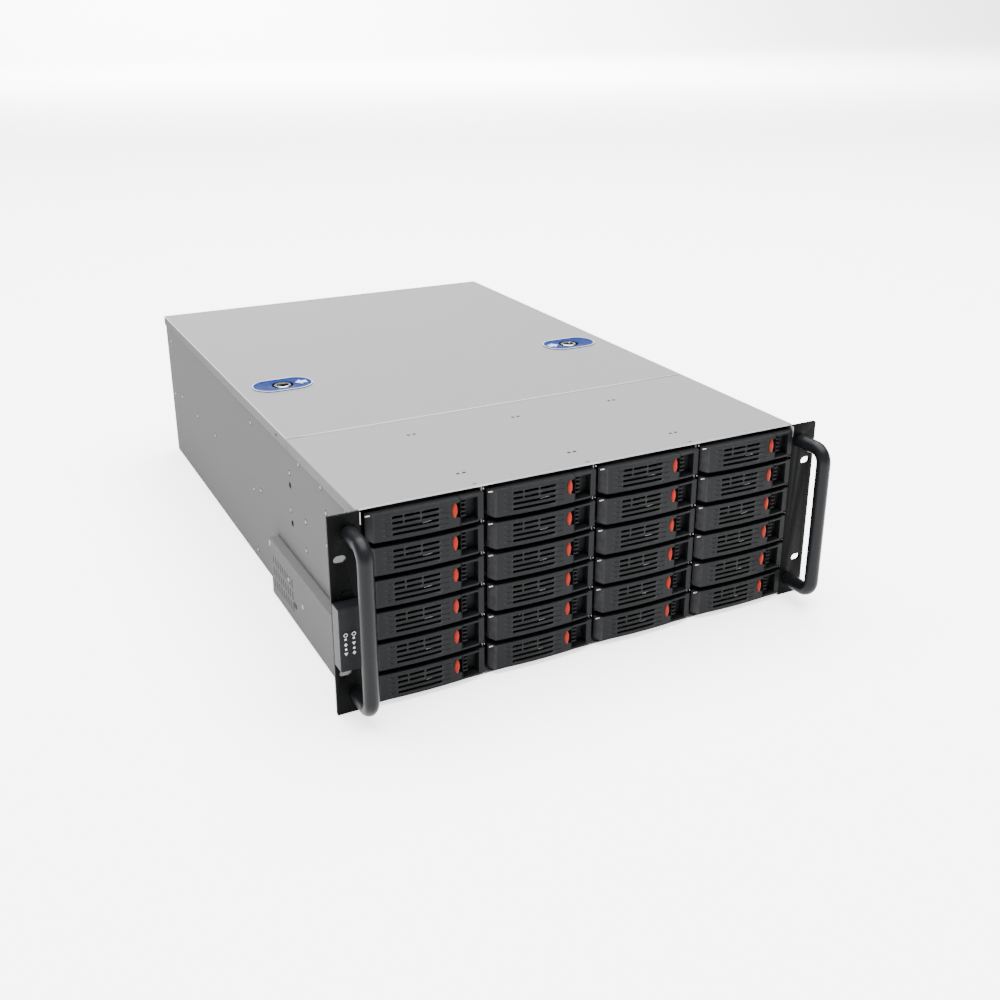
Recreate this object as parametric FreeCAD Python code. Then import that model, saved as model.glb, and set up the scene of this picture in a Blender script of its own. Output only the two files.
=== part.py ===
import FreeCAD, Part
import math
import os

Vector = FreeCAD.Vector
os.makedirs("parts", exist_ok=True)

# Rack mounting: a 19-inch front, four units high
ear_span = 482.6
panel_height = 177.0
rack_hole_edge = 8.75
rack_hole_end = 37.7
rack_slot_length = 10.3
rack_slot_width = 6.8
ear_thickness = 3.0
ear_flange_relief = 1.5
ear_inner_gap = 0.4

# Case body in folded sheet steel
ear_overhang = 26.3
case_depth = 680.0
wall = 1.2
flange_inset = 1.5

# Top covers
cover_wall = 1.0
cover_gap = 0.1
skirt_height = 11.0
seam_depth = 180.0
seam_gap = 0.6
cover_lip_setback = 0.3

# Front handles
handle_reach = 40.0
handle_diameter = 13.0
handle_end = 16.5
handle_inset = 17.3
handle_bend = 12.0
handle_screw_radius = 2.5
handle_screw_depth = 10.0
handle_screw_head = 9.0
handle_screw_head_height = 3.2
screw_clearance = 0.15

# Drive bays: four columns of six
columns = 4
rows = 6
divider_wall = 1.0
cage_flange = 1.0
cage_flange_width = 9.0
cage_front_setback = 5.0
row_gap = 3.6
bezel_side_gap = 1.55
guide_reach = 2.0
guide_height = 1.5
tray_side_clearance = 0.5

# Hot-swap tray
bow_reach = 5.0
bow_radius = 480.0
bezel_back = 11.0
bezel_wall = 3.0
bezel_window_left = 16.0
bezel_window_height = 16.0
grip_width = 22.0
post_width = 5.2
post_setback = 0.7
scoop_depth = 7.0
scoop_lip = 1.7
scoop_slope = 8.0
scoop_edge = 1.0
scoop_step = 0.5
post_edge = 0.8
tray_length = 174.0
tray_wall = 0.8
tray_rail_height = 20.0
tray_rail_slope = 6.0
tray_window_margin = 12.0

# Tray lever, hinged at its left end
lever_left = 4.3
lever_corner = 8.6
lever_back = 5.0
lever_wall = 2.2
lever_flange = 1.4
lever_side_wall = 1.6
split_gap = 0.6
pivot_x = 9.5
pivot_y = 3.5
pin_radius = 1.2
pin_clearance = 0.08
knuckle_radius = 2.6
lug_radius = 2.3
lug_thickness = 1.2
lug_gap = 0.25
vent_left = 24.0
vent_right_margin = 19.0
vent_pitch = 4.8
vent_height = 2.2
vent_rows = 4
vent_bar_width = 1.3
vent_bar_places = (0.24, 0.61)

# Release button on the lever
button_width = 6.0
button_height = 13.0
button_rise = 2.3
button_edge = 1.6
button_clearance = 0.25
button_proud = 1.0
button_slope = 0.45
button_length = 7.0

# Backplane boards with one connector for each bay
board_wall = 1.6
board_margin = 1.2
connector_width = 42.0
connector_height = 6.0
connector_depth = 7.0

# Fan wall with three fans
fan_size = 120.0
fan_depth = 25.0
fan_pitch = 128.0
fan_count = 3
fan_wall_depth = 285.0
fan_wall_height = 140.0
fan_bore_radius = 57.5
fan_blade_radius = 56.0
fan_hub_radius = 20.0
fan_blades = 7
fan_blade_wall = 1.8
fan_blade_pitch = 38.0
fan_shaft_radius = 2.0
fan_shaft_clearance = 0.05
fan_stator_depth = 4.0
fan_strut_width = 5.0
fan_rotor_gap = 1.0
fan_hub_depth = 15.0

# Rear panel openings
supply_width = 86.0
supply_base = 13.5
supply_margin = 8.0
supply_lip = 4.0
io_width = 158.75
io_height = 44.45
io_base = 12.0
board_edge_gap = 3.0
board_side_gap = 12.0
slot_side_margin = 5.0
slot_pitch = 20.32
slot_first = 15.0
slot_window_width = 13.0
slot_window_base = 22.0
slot_window_end = 56.0
slot_cover_width = 18.4
slot_cover_wall = 0.9
slot_cover_overlap = 5.0
slot_cover_tab = 11.0
vent_field_width = 76.0
vent_field_end = 18.0
vent_field_slots = 8
vent_field_bar = 3.6
vent_field_base = 82.0

# Shelf under the power supply
shelf_depth = 150.0
shelf_wall = 1.2

# Board standoffs, on the hole grid of a full-size board
standoff_radius = 3.0
standoff_height = 6.5
standoff_hole_radius = 1.45
standoff_hole_depth = 5.0
hole_column_a = 6.35
hole_column_b = 163.83
hole_column_c = 288.29
hole_row_io = 33.02
hole_row_a = 10.16
hole_row_b = 165.10
hole_row_c = 238.76

# Control box on the left ear
control_depth = 15.0
control_width = 22.0
control_bottom = 48.5
control_height = 55.5
control_wall = 2.0
control_chamfer = 1.5
control_column_inset = 5.0
control_column_pitch = 6.8
control_button_height = 33.0
control_button_radius = 2.2
control_button_clearance = 0.3
control_button_proud = 0.8
control_button_length = 7.0
lens_width = 1.6
lens_length = 3.0
lens_proud = 0.2
lens_heights = (29.0, 20.0)
control_board_wall = 1.6
control_board_gap = 4.0

# Cable channel low on the left side
channel_depth = 9.0
channel_height = 60.0
channel_length = 229.0
channel_wall = 1.0
channel_base_gap = 0.5
channel_vent_rows = 3
channel_vent_columns = 9
channel_vent_width = 3.0
channel_vent_height = 9.0
channel_vent_pitch_y = 7.2
channel_vent_pitch_z = 12.5
channel_vent_inset = 8.0
channel_vent_base = 10.0
channel_notch = 12.0
channel_hole_inset = 92.0
channel_hole_base = 14.0
channel_hole_width = 5.0
channel_hole_height = 11.0

# Side holes that take the slide rails
rail_hole_depth = 181.0
rail_hole_radius = 2.5
rail_hole_spacing = 38.1
rail_hole_height = 112.7

# Lid latches
latch_inset = 45.0
latch_depth = 337.0
latch_length = 63.0
latch_width = 40.0
latch_rim = 1.2
latch_lip = 3.0
latch_cup_depth = 9.0
latch_floor = 1.5
latch_button_radius = 8.6
latch_button_clearance = 0.3
latch_button_recess = 0.6
latch_button_height = 5.0

# Places worked out from the sizes above. The origin is the middle of the
# overall footprint at the underside; the front looks along -Y.
case_width = ear_span - 2.0 * ear_overhang
overall_depth = case_depth + handle_reach
ear_y = handle_reach - overall_depth / 2.0
rear_y = ear_y + case_depth
flange_y = ear_y + ear_thickness
side_x = case_width / 2.0
inner_x = side_x - wall
cover_x = side_x + cover_gap + cover_wall
cover_z = panel_height - cover_wall
seam_y = ear_y + seam_depth
panel_back_y = rear_y - cover_wall - cover_gap
panel_front_y = panel_back_y - wall
panel_mid_z = panel_height / 2.0
rack_hole_spacing_x = ear_span - 2.0 * rack_hole_edge
rack_hole_spacing_z = panel_height - 2.0 * rack_hole_end
handle_x = ear_span / 2.0 - handle_inset
handle_spacing = panel_height - 2.0 * handle_end
latch_x = side_x - latch_inset

bay_clear = (2.0 * inner_x - (columns - 1) * divider_wall) / columns
bay_pitch = bay_clear + divider_wall
row_pitch = (cover_z - wall - 2.0 * cage_flange) / rows
bezel_width = bay_pitch - bezel_side_gap
bezel_height = row_pitch - row_gap
half_bezel = bezel_height / 2.0
lever_right = bezel_width - grip_width - split_gap
vent_right = lever_right - vent_right_margin
frame_front = bezel_back + bezel_wall
cage_back = seam_depth + 4.0
tray_under = -half_bezel

fan_y = ear_y + fan_wall_depth
fan_z = wall + fan_size / 2.0 + 8.0
supply_right = inner_x - supply_margin
supply_height = panel_height - 2.0 * supply_base
board_right = supply_right - supply_width - board_side_gap
board_rear_y = panel_front_y - board_edge_gap
io_right = board_right + board_edge_gap
slot_start = io_right - io_width - slot_first
slot_space = slot_start - slot_cover_width / 2.0 + inner_x - slot_side_margin
slot_count = int(slot_space / slot_pitch) + 1
slot_window_height = cover_z - slot_window_end - slot_window_base
vent_field_height = cover_z - vent_field_end - vent_field_base


def box(x0, x1, y0, y1, z0, z1):
    return Part.makeBox(x1 - x0, y1 - y0, z1 - z0, Vector(x0, y0, z0))


def rod(x, y, z, radius, length, along):
    return Part.makeCylinder(radius, length, Vector(x, y, z), along)


def group(shapes):
    return Part.makeCompound(shapes)


def moved(shape, x, y, z):
    copy = shape.copy()
    copy.translate(Vector(x, y, z))
    return copy


def prism(edges, z0, z1):
    """A closed outline in plan, raised from z0 to z1."""
    face = Part.Face(Part.Wire(Part.__sortEdges__(edges)))
    face.translate(Vector(0, 0, z0))
    return face.extrude(Vector(0, 0, z1 - z0))


def outline(points):
    """Straight edges through the plan points, closed back to the first."""
    corners = [Vector(x, y, 0) for x, y in points]
    following = corners[1:] + corners[:1]
    return [Part.LineSegment(a, b).toShape() for a, b in zip(corners, following)]


def stadium(length, width, height):
    """A flat-sided oval in plan about the origin, its length along X."""
    run = (length - width) / 2.0
    r = width / 2.0
    edges = [
        Part.LineSegment(Vector(-run, -r, 0), Vector(run, -r, 0)).toShape(),
        Part.Arc(Vector(run, -r, 0), Vector(run + r, 0, 0), Vector(run, r, 0)).toShape(),
        Part.LineSegment(Vector(run, r, 0), Vector(-run, r, 0)).toShape(),
        Part.Arc(Vector(-run, r, 0), Vector(-run - r, 0, 0), Vector(-run, -r, 0)).toShape(),
    ]
    return prism(edges, 0, height)


def facing(shape):
    """Turns a shape built in plan so that its plan faces the front."""
    turned = shape.copy()
    turned.rotate(Vector(0, 0, 0), Vector(1, 0, 0), 90)
    return turned


def mirrored(shape, side):
    """The shape itself for the right side, its mirror image for the left side."""
    return shape if side > 0 else shape.mirror(Vector(0, 0, 0), Vector(1, 0, 0))


def export(name, shape):
    shape.exportStep("parts/" + name + ".step")


def sideways(shape):
    """Turns a shape built in plan so that its plan runs along Y and Z and its height along X."""
    turned = facing(shape)
    turned.rotate(Vector(0, 0, 0), Vector(0, 0, 1), 90)
    return turned


def polygon(across, count, height):
    """A regular prism in plan about the origin, measured across its flats."""
    radius = across / 2.0 / math.cos(math.pi / count)
    angles = [2.0 * math.pi * i / count for i in range(count)]
    points = [(radius * math.cos(a), radius * math.sin(a)) for a in angles]
    return prism(outline(points), 0, height)


# Sheet-metal body


def four_places(x, spacing_z):
    """Plan and height of four points about the middle of the front."""
    return [(sx * x, panel_mid_z + sz * spacing_z / 2.0) for sx in (-1, 1) for sz in (-1, 1)]


def ear_cutters():
    """The rack slots and the handle screw holes through both ears."""
    depth = ear_thickness + 2.0
    slot = facing(stadium(rack_slot_length, rack_slot_width, depth))
    cutters = []
    for x, z in four_places(rack_hole_spacing_x / 2.0, rack_hole_spacing_z):
        cutters.append(moved(slot, x, ear_y - 1.0 + depth, z))
    for x, z in four_places(handle_x, handle_spacing):
        radius = handle_screw_radius + screw_clearance
        cutters.append(rod(x, ear_y - 1.0, z, radius, depth, Vector(0, 1, 0)))
    return cutters


def flange_windows():
    """Square-cornered windows in the body's front flanges behind slots and screws."""
    windows = []
    for x, z in four_places(rack_hole_spacing_x / 2.0, rack_hole_spacing_z):
        windows.append((x, z, rack_slot_length / 2.0 + ear_flange_relief,
                        rack_slot_width / 2.0 + ear_flange_relief))
    for x, z in four_places(handle_x, handle_spacing):
        half = handle_screw_radius + screw_clearance
        windows.append((x, z, half, half))
    return [box(x - dx, x + dx, flange_y - 1.0, flange_y + wall + 1.0, z - dz, z + dz)
            for x, z, dx, dz in windows]


def base_tray():
    """Floor and two sides as one folded sheet, and a flange welded on each side at the front
    that backs the ear."""
    body = box(-side_x, side_x, flange_y, panel_back_y, 0, wall)
    flange_end = ear_span / 2.0 - flange_inset
    flanges = []
    for sx in (-1, 1):
        side = box(inner_x, side_x, flange_y, panel_back_y, 0, cover_z)
        flange = box(side_x, flange_end, flange_y, flange_y + wall, flange_inset, cover_z - flange_inset)
        body = body.fuse(mirrored(side, sx))
        flanges.append(mirrored(flange, sx).cut(flange_windows()))
    holes = []
    for sz in (-1, 1):
        z = rail_hole_height + sz * rail_hole_spacing / 2.0
        y = ear_y + rail_hole_depth
        holes.append(rod(-side_x - 1.0, y, z, rail_hole_radius, case_width + 2.0, Vector(1, 0, 0)))
    return group([body.cut(holes).removeSplitter()] + flanges)


def rear_vent_fields():
    """Two square fields of upright slots above the connector opening."""
    cutters = []
    pitch = vent_field_width / vent_field_slots
    for place in (1, 3):
        middle = io_right - io_width * place / 4.0
        for i in range(vent_field_slots):
            x = middle - vent_field_width / 2.0 + (i + 0.5) * pitch
            half = (pitch - vent_field_bar) / 2.0
            top = vent_field_base + vent_field_height
            cutters.append(
                box(x - half, x + half, panel_front_y - 1, panel_back_y + 1, vent_field_base, top)
            )
    return cutters


def slot_x(i):
    return slot_start - i * slot_pitch


def rear_panel():
    """The rear wall with the supply bay, connector opening, card slots and vents."""
    y0 = panel_front_y
    y1 = panel_back_y
    panel = box(-inner_x, inner_x, y0, y1, wall, cover_z)
    supply_z0 = panel_mid_z - supply_height / 2.0
    lip = box(supply_right - supply_width - supply_lip, supply_right + supply_lip,
              y0 - supply_lip, y0, supply_z0 - supply_lip, supply_z0 + supply_height + supply_lip)
    panel = panel.fuse(lip)
    cutters = [
        box(supply_right - supply_width, supply_right, y0 - supply_lip - 1, y1 + 1,
            supply_z0, supply_z0 + supply_height),
        box(io_right - io_width, io_right, y0 - 1, y1 + 1, io_base, io_base + io_height),
    ]
    for i in range(slot_count):
        half = slot_window_width / 2.0
        top = slot_window_base + slot_window_height
        cutters.append(box(slot_x(i) - half, slot_x(i) + half, y0 - 1, y1 + 1, slot_window_base, top))
    return panel.cut(cutters + rear_vent_fields()).removeSplitter()


def slot_covers():
    """Seven blank plates behind the card slots, each with a bent tab on top."""
    covers = []
    half = slot_cover_width / 2.0
    low = slot_window_base - slot_cover_overlap
    top = slot_window_base + slot_window_height + slot_cover_overlap
    for i in range(slot_count):
        x = slot_x(i)
        plate = box(x - half, x + half, panel_front_y - slot_cover_wall, panel_front_y, low, top)
        tab = box(x - half, x + half, panel_front_y - slot_cover_tab, panel_front_y,
                  top, top + slot_cover_wall)
        covers.append(plate.fuse(tab).removeSplitter())
    return group(covers)


def skirts(y0, y1):
    """The two folded edges of a cover, outside the case sides from y0 to y1."""
    skirt = box(cover_x - cover_wall, cover_x, y0, y1, panel_height - skirt_height, cover_z)
    return [mirrored(skirt, sx) for sx in (-1, 1)]


def front_cover():
    """The fixed cover over the drive bays, with a lip forward between the ears."""
    front = flange_y + wall + cover_gap
    back = seam_y - seam_gap / 2.0
    plate = box(-cover_x, cover_x, front, back, cover_z, panel_height)
    lip = box(-inner_x, inner_x, ear_y + cover_lip_setback, back, cover_z, panel_height)
    return group([plate.fuse(lip).removeSplitter()] + skirts(front, back))


def latch_cutter(extra):
    cup_length = latch_length - 2.0 * latch_lip
    cup_width = latch_width - 2.0 * latch_lip
    return stadium(cup_length + 2.0 * extra, cup_width + 2.0 * extra, cover_wall + 2.0)


def rear_lid():
    """The sliding lid behind the seam, with a flange down over the rear panel."""
    front = seam_y + seam_gap / 2.0
    back = rear_y - cover_wall
    plate = box(-cover_x, cover_x, front, rear_y, cover_z, panel_height)
    flange = box(-cover_x, cover_x, back, rear_y, panel_height - skirt_height, cover_z)
    cutters = []
    for sx in (-1, 1):
        cutters.append(moved(latch_cutter(cover_gap), sx * latch_x, ear_y + latch_depth, cover_z - 1.0))
    return group([plate.cut(cutters).removeSplitter(), flange] + skirts(front, back))


def latch_bezels():
    """Two oval latch surrounds: a rim on the lid and a cup through it."""
    bezels = []
    cup_bottom = panel_height - latch_cup_depth
    for sx in (-1, 1):
        rim = moved(stadium(latch_length, latch_width, latch_rim), 0, 0, panel_height)
        cup = stadium(latch_length - 2.0 * latch_lip, latch_width - 2.0 * latch_lip, latch_cup_depth)
        shape = rim.fuse(moved(cup, 0, 0, cup_bottom))
        bore = rod(0, 0, cup_bottom + latch_floor, latch_button_radius + latch_button_clearance,
                   latch_cup_depth + latch_rim, Vector(0, 0, 1))
        shape = shape.cut(bore).removeSplitter()
        bezels.append(moved(shape, sx * latch_x, ear_y + latch_depth, 0))
    return group(bezels)


def latch_button(sx):
    """A round push button that sits a little below the rim."""
    top = panel_height + latch_rim - latch_button_recess
    x = sx * latch_x
    y = ear_y + latch_depth
    low = top - latch_button_height
    return rod(x, y, low, latch_button_radius, latch_button_height, Vector(0, 0, 1))


# Ears and handles


def ear(sx):
    """A flat ear with its rack slots and handle screw holes."""
    x0 = inner_x + ear_inner_gap
    x1 = ear_span / 2.0
    plate = mirrored(box(x0, x1, ear_y, flange_y, 0, panel_height), sx)
    return plate.cut(ear_cutters()).removeSplitter()


def handle(sx):
    """A round bar bent twice, standing on the ear on two legs."""
    radius = handle_diameter / 2.0
    bend = handle_bend
    bar_y = ear_y - handle_reach + radius
    x = sx * handle_x
    low = panel_mid_z - handle_spacing / 2.0
    high = panel_mid_z + handle_spacing / 2.0
    leg = ear_y - bar_y - bend
    pieces = [rod(x, bar_y, low + bend, radius, high - low - 2.0 * bend, Vector(0, 0, 1))]
    for z, turn, inward in ((low, -90, bend), (high, 90, -bend)):
        section = Part.Face(Part.Wire(Part.makeCircle(radius, Vector(x, bar_y + bend, z), Vector(0, 1, 0))))
        pieces.append(section.revolve(Vector(x, bar_y + bend, z + inward), Vector(1, 0, 0), turn))
        pieces.append(rod(x, bar_y + bend, z, radius, leg, Vector(0, 1, 0)))
    bar = pieces[0].fuse(pieces[1:]).removeSplitter()
    depth = handle_screw_depth + screw_clearance
    holes = [rod(x, ear_y - depth, z, handle_screw_radius, depth, Vector(0, 1, 0)) for z in (low, high)]
    return bar.cut(holes)


def handle_screws():
    """Four hexagon-head screws from behind, through flange and ear into the legs."""
    screws = []
    seat = flange_y + wall
    reach = ear_thickness + wall + handle_screw_depth
    for x, z in four_places(handle_x, handle_spacing):
        head = facing(polygon(handle_screw_head, 6, handle_screw_head_height))
        head = moved(head, x, seat + handle_screw_head_height, z)
        shank = rod(x, seat - reach, z, handle_screw_radius, reach, Vector(0, 1, 0))
        screws.append(head.fuse(shank).removeSplitter())
    return group(screws)


# Drive cage, guides and backplanes


def divider_x(i):
    """Middle of the i-th line between columns, counted from the left side."""
    return -inner_x - divider_wall / 2.0 + i * bay_pitch


def row_z(row):
    """Middle height of a row of bays; row 1 is the top one."""
    return wall + cage_flange + (rows - row + 0.5) * row_pitch


def guide(x0, x1, row):
    top = row_z(row) + tray_under
    return box(x0, x1, ear_y + frame_front + 1.0, ear_y + tray_length, top - guide_height, top)


def drive_cage():
    """Three dividers with a foot and a head strip each, and guides welded along both sides of
    every column."""
    front = ear_y + cage_front_setback
    back = ear_y + cage_back
    half = divider_wall / 2.0
    solids = []
    for i in range(1, columns):
        x = divider_x(i)
        solids.append(box(x - half, x + half, front, back, wall, cover_z))
        for z in (wall, cover_z - cage_flange):
            solids.append(box(x - cage_flange_width, x - half, front + bezel_back, back,
                              z, z + cage_flange))
    for column in range(columns):
        left = divider_x(column) + half
        right = divider_x(column + 1) - half
        for row in range(1, rows + 1):
            solids.append(guide(left, left + guide_reach, row))
            solids.append(guide(right - guide_reach, right, row))
    return group(solids)


def backplanes():
    """Six boards across the rear of the cage, with one connector at each bay."""
    front = ear_y + cage_back
    solids = []
    for row in range(1, rows + 1):
        z = row_z(row)
        half = row_pitch / 2.0 - board_margin
        board = box(-inner_x + board_margin, inner_x - board_margin, front, front + board_wall,
                    z - half, z + half)
        pieces = []
        for column in range(columns):
            x = divider_x(column) + bay_pitch / 2.0
            pieces.append(box(x - connector_width / 2.0, x + connector_width / 2.0,
                              front - connector_depth, front,
                              z - connector_height / 2.0, z + connector_height / 2.0))
        solids.append(board.fuse(pieces).removeSplitter())
    return group(solids)


# Hot-swap tray, modelled with its left front edge at the origin of x, the ear
# face at y zero and the middle of its height at z zero


def bow_y(x, inset):
    """Depth of the bowed front at x, or of the surface lying inset behind it."""
    radius = bow_radius - inset
    return bow_radius - bow_reach - math.sqrt(radius ** 2 - (x - bezel_width / 2.0) ** 2)


def bow_arc(x0, x1, inset):
    middle = (x0 + x1) / 2.0
    points = [Vector(x, bow_y(x, inset), 0) for x in (x0, middle, x1)]
    return Part.Arc(*points).toShape()


def bowed(x0, x1, inset, tail, z0, z1):
    """A prism whose front is the bowed arc from x0 to x1, closed through tail points."""
    points = [(x1, bow_y(x1, inset))] + tail + [(x0, bow_y(x0, inset))]
    corners = [Vector(x, y, 0) for x, y in points]
    edges = [Part.LineSegment(a, b).toShape() for a, b in zip(corners, corners[1:])]
    return prism([bow_arc(x0, x1, inset)] + edges, z0, z1)


def chorded(xs, inset, tail, z0, z1):
    """Like bowed, but its front runs by chords between points of the bow at the given xs."""
    return prism(outline([(x, bow_y(x, inset)) for x in xs] + tail), z0, z1)


def vent_cutters(with_bars):
    """Horizontal slots through the lever; thin bars break the upper rows."""
    bars = [vent_left + (vent_right - vent_left) * share for share in vent_bar_places]
    cutters = []
    for i in range(vent_rows):
        z = ((vent_rows - 1) / 2.0 - i) * vent_pitch
        stops = [vent_left]
        if with_bars and i < vent_rows // 2:
            for bar in bars:
                stops += [bar - vent_bar_width / 2.0, bar + vent_bar_width / 2.0]
        stops.append(vent_right)
        for x0, x1 in zip(stops[0::2], stops[1::2]):
            cutters.append(box(x0, x1, -bow_reach - 1.0, lever_back, z - vent_height / 2.0,
                               z + vent_height / 2.0))
    return cutters


def button_middle():
    return lever_right - button_edge - button_width / 2.0


def button_outline(extra, y0, y1, detailed):
    """The upright oval of the release button run along Y, with cut corners when plain."""
    height = button_height + 2.0 * extra
    width = button_width + 2.0 * extra
    if detailed:
        oval = stadium(height, width, y1 - y0)
    else:
        a = height / 2.0
        b = width / 2.0
        c = width / 4.0
        d = height / 2.0 - width / 3.0
        oval = prism(outline([(a, c), (d, b), (-d, b), (-a, c), (-a, -c), (-d, -b), (d, -b), (a, -c)]),
                     0, y1 - y0)
    oval = facing(oval)
    oval.rotate(Vector(0, 0, 0), Vector(0, 1, 0), 90)
    return moved(oval, button_middle(), y1, button_rise)


def lever(detailed):
    """The vented door: a bowed shell with flanges, a slanted end and a knuckle."""
    tail = [(lever_right, lever_back), (lever_left, lever_back)]
    if detailed:
        shell = bowed(lever_corner, lever_right, 0.0, tail, -half_bezel, half_bezel)
    else:
        stops = [lever_corner, vent_left - vent_height, vent_right + vent_height, lever_right]
        shell = chorded(stops, 0.0, tail, -half_bezel, half_bezel)
    lean = (lever_corner - lever_left) / (lever_back - bow_y(lever_corner, 0.0))
    inner = half_bezel - lever_flange
    left = lever_corner + lever_side_wall - lean * lever_wall
    right = lever_right - lever_side_wall
    tail = [(right, lever_back + 1.0), (lever_left + lever_side_wall - lean, lever_back + 1.0)]
    if detailed:
        cavity = bowed(left, right, lever_wall, tail, -inner, inner)
    else:
        flat = bow_y(left, lever_wall)
        cavity = prism(outline([(left, flat), (right, flat)] + tail), -inner, inner)
    shell = shell.cut([cavity] + vent_cutters(detailed))
    clearance = button_clearance if detailed else 0.0
    shell = shell.cut(button_outline(clearance, -bow_reach - 2.0, 2.0, detailed))
    if not detailed:
        return shell.removeSplitter()
    top = inner - lug_thickness - 2.0 * lug_gap
    knuckle = rod(pivot_x, pivot_y, -top, knuckle_radius, 2.0 * top, Vector(0, 0, 1))
    web = box(lever_left + lever_side_wall, pivot_x, pivot_y - knuckle_radius / 2.0, pivot_y, -top, top)
    bore = rod(pivot_x, pivot_y, -inner, pin_radius + pin_clearance, 2.0 * inner, Vector(0, 0, 1))
    return shell.fuse([knuckle, web]).cut(bore).removeSplitter()


def release_button(detailed):
    """The oval button at the lever's end, its face sloping back to the right."""
    half = button_width / 2.0
    middle = button_middle()
    face_y = bow_y(middle, 0.0) - button_proud
    back = face_y + button_length if detailed else 0.0
    body = button_outline(0.0, face_y - button_proud, back, detailed)
    before = face_y - 3.0 * button_proud
    slope = outline([
        (middle - half - 1.0, before),
        (middle + half + 1.0, before),
        (middle + half + 1.0, face_y + button_slope * (half + 1.0)),
        (middle - half - 1.0, face_y - button_slope * (half + 1.0)),
    ])
    return body.cut(prism(slope, -half_bezel, half_bezel))


def tray_carrier():
    """The steel carrier behind the moulded front: a floor with two windows and a rail up each
    side with a sloped rear corner, every plate a solid of its own that butts on its neighbour."""
    margin = (bezel_width - bay_clear) / 2.0 + tray_side_clearance
    x0 = margin
    x1 = bezel_width - margin
    back = tray_length
    z0 = tray_under
    z1 = z0 + tray_wall
    top = z0 + tray_rail_height
    floor = box(x0, x1, frame_front, back, z0, z1)
    m = tray_window_margin
    middle = (frame_front + back) / 2.0
    windows = [box(x0 + m, x1 - m, y0, y1, z0 - 1, z1 + 1)
               for y0, y1 in ((frame_front + m, middle - m / 2.0), (middle + m / 2.0, back - m))]
    side = outline([(frame_front, z1), (back, z1), (back, top - tray_rail_slope),
                    (back - tray_rail_slope, top), (frame_front, top)])
    rail = sideways(prism(side, 0, tray_wall))
    return [floor.cut(windows), moved(rail, x0, 0, 0), moved(rail, x1 - tray_wall, 0, 0)]


def bezel(detailed):
    """The moulded front of the tray: window wall, finger scoop and end post."""
    h = half_bezel
    back = box(0, bezel_width, bezel_back, frame_front, -h, h)
    grip_left = bezel_width - grip_width
    post_left = bezel_width - post_width
    post_y = -post_setback
    tail = [(post_left + post_edge, post_y), (bezel_width, post_y), (bezel_width, bezel_back),
            (grip_left, bezel_back)]
    if detailed:
        grip = bowed(grip_left, post_left, 0.0, tail, -h, h)
    else:
        grip = chorded([grip_left, post_left], 0.0, tail, -h, h)
    scoop_left = grip_left + scoop_edge
    scoop = prism(outline([
        (scoop_left, -bow_reach - 1.0),
        (post_left, -bow_reach - 1.0),
        (post_left, scoop_depth),
        (scoop_left + scoop_slope, scoop_depth),
        (scoop_left, bow_y(scoop_left, 0.0) + scoop_step),
    ]), -h + scoop_lip, h - scoop_lip)
    window = box(bezel_window_left, lever_right - bezel_wall, bezel_back - 1, frame_front + 1,
                 -bezel_window_height / 2.0, bezel_window_height / 2.0)
    shape = back.fuse(grip).cut([scoop, window])
    if not detailed:
        joint = box(lever_left, lever_left + lever_side_wall, lever_back, bezel_back, -h, h)
        return shape.fuse(joint).removeSplitter()
    inner = h - lever_flange
    lug_z1 = inner - lug_gap
    lug_z0 = lug_z1 - lug_thickness
    for z0 in (lug_z0, -lug_z1):
        lug = rod(pivot_x, pivot_y, z0, lug_radius, lug_thickness, Vector(0, 0, 1))
        arm = box(pivot_x, pivot_x + lug_radius, pivot_y, bezel_back, z0, z0 + lug_thickness)
        shape = shape.fuse([lug, arm])
    pin = rod(pivot_x, pivot_y, -lug_z1, pin_radius, 2.0 * lug_z1, Vector(0, 0, 1))
    return shape.fuse(pin).removeSplitter()


def export_trays():
    """Trays row by row; in the top row the lever and button are nodes of their own."""
    moving = {"lever": lever(True), "button": release_button(True)}
    open_tray = group(tray_carrier() + [bezel(True)])
    whole_tray = group(tray_carrier() + [bezel(False), lever(False), release_button(False)])
    for row in range(1, rows + 1):
        for column in range(1, columns + 1):
            x = divider_x(column - 1) + (bay_pitch - bezel_width) / 2.0
            place = (x, ear_y, row_z(row))
            name = "r%dc%d" % (row, column)
            if row > 1:
                export("tray_" + name, moved(whole_tray, *place))
                continue
            export("tray_" + name, moved(open_tray, *place))
            for kind, shape in moving.items():
                export(kind + "_" + name, moved(shape, *place))


# Fan wall


def fan_x(i):
    return (i - (fan_count - 1) / 2.0) * fan_pitch


def fan_wall():
    """A plate across the case, flanged top and bottom, with a window for each fan."""
    plate = box(-inner_x, inner_x, fan_y, fan_y + wall, wall, wall + fan_wall_height)
    foot = box(-inner_x, inner_x, fan_y, fan_y + cage_flange_width, wall, 2.0 * wall)
    top = wall + fan_wall_height
    brim = box(-inner_x, inner_x, fan_y, fan_y + cage_flange_width, top - wall, top)
    plate = plate.fuse([foot, brim])
    r = fan_bore_radius
    windows = [box(fan_x(i) - r, fan_x(i) + r, fan_y - 1, fan_y + wall + 1, fan_z - r, fan_z + r)
               for i in range(fan_count)]
    return plate.cut(windows).removeSplitter()


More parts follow.
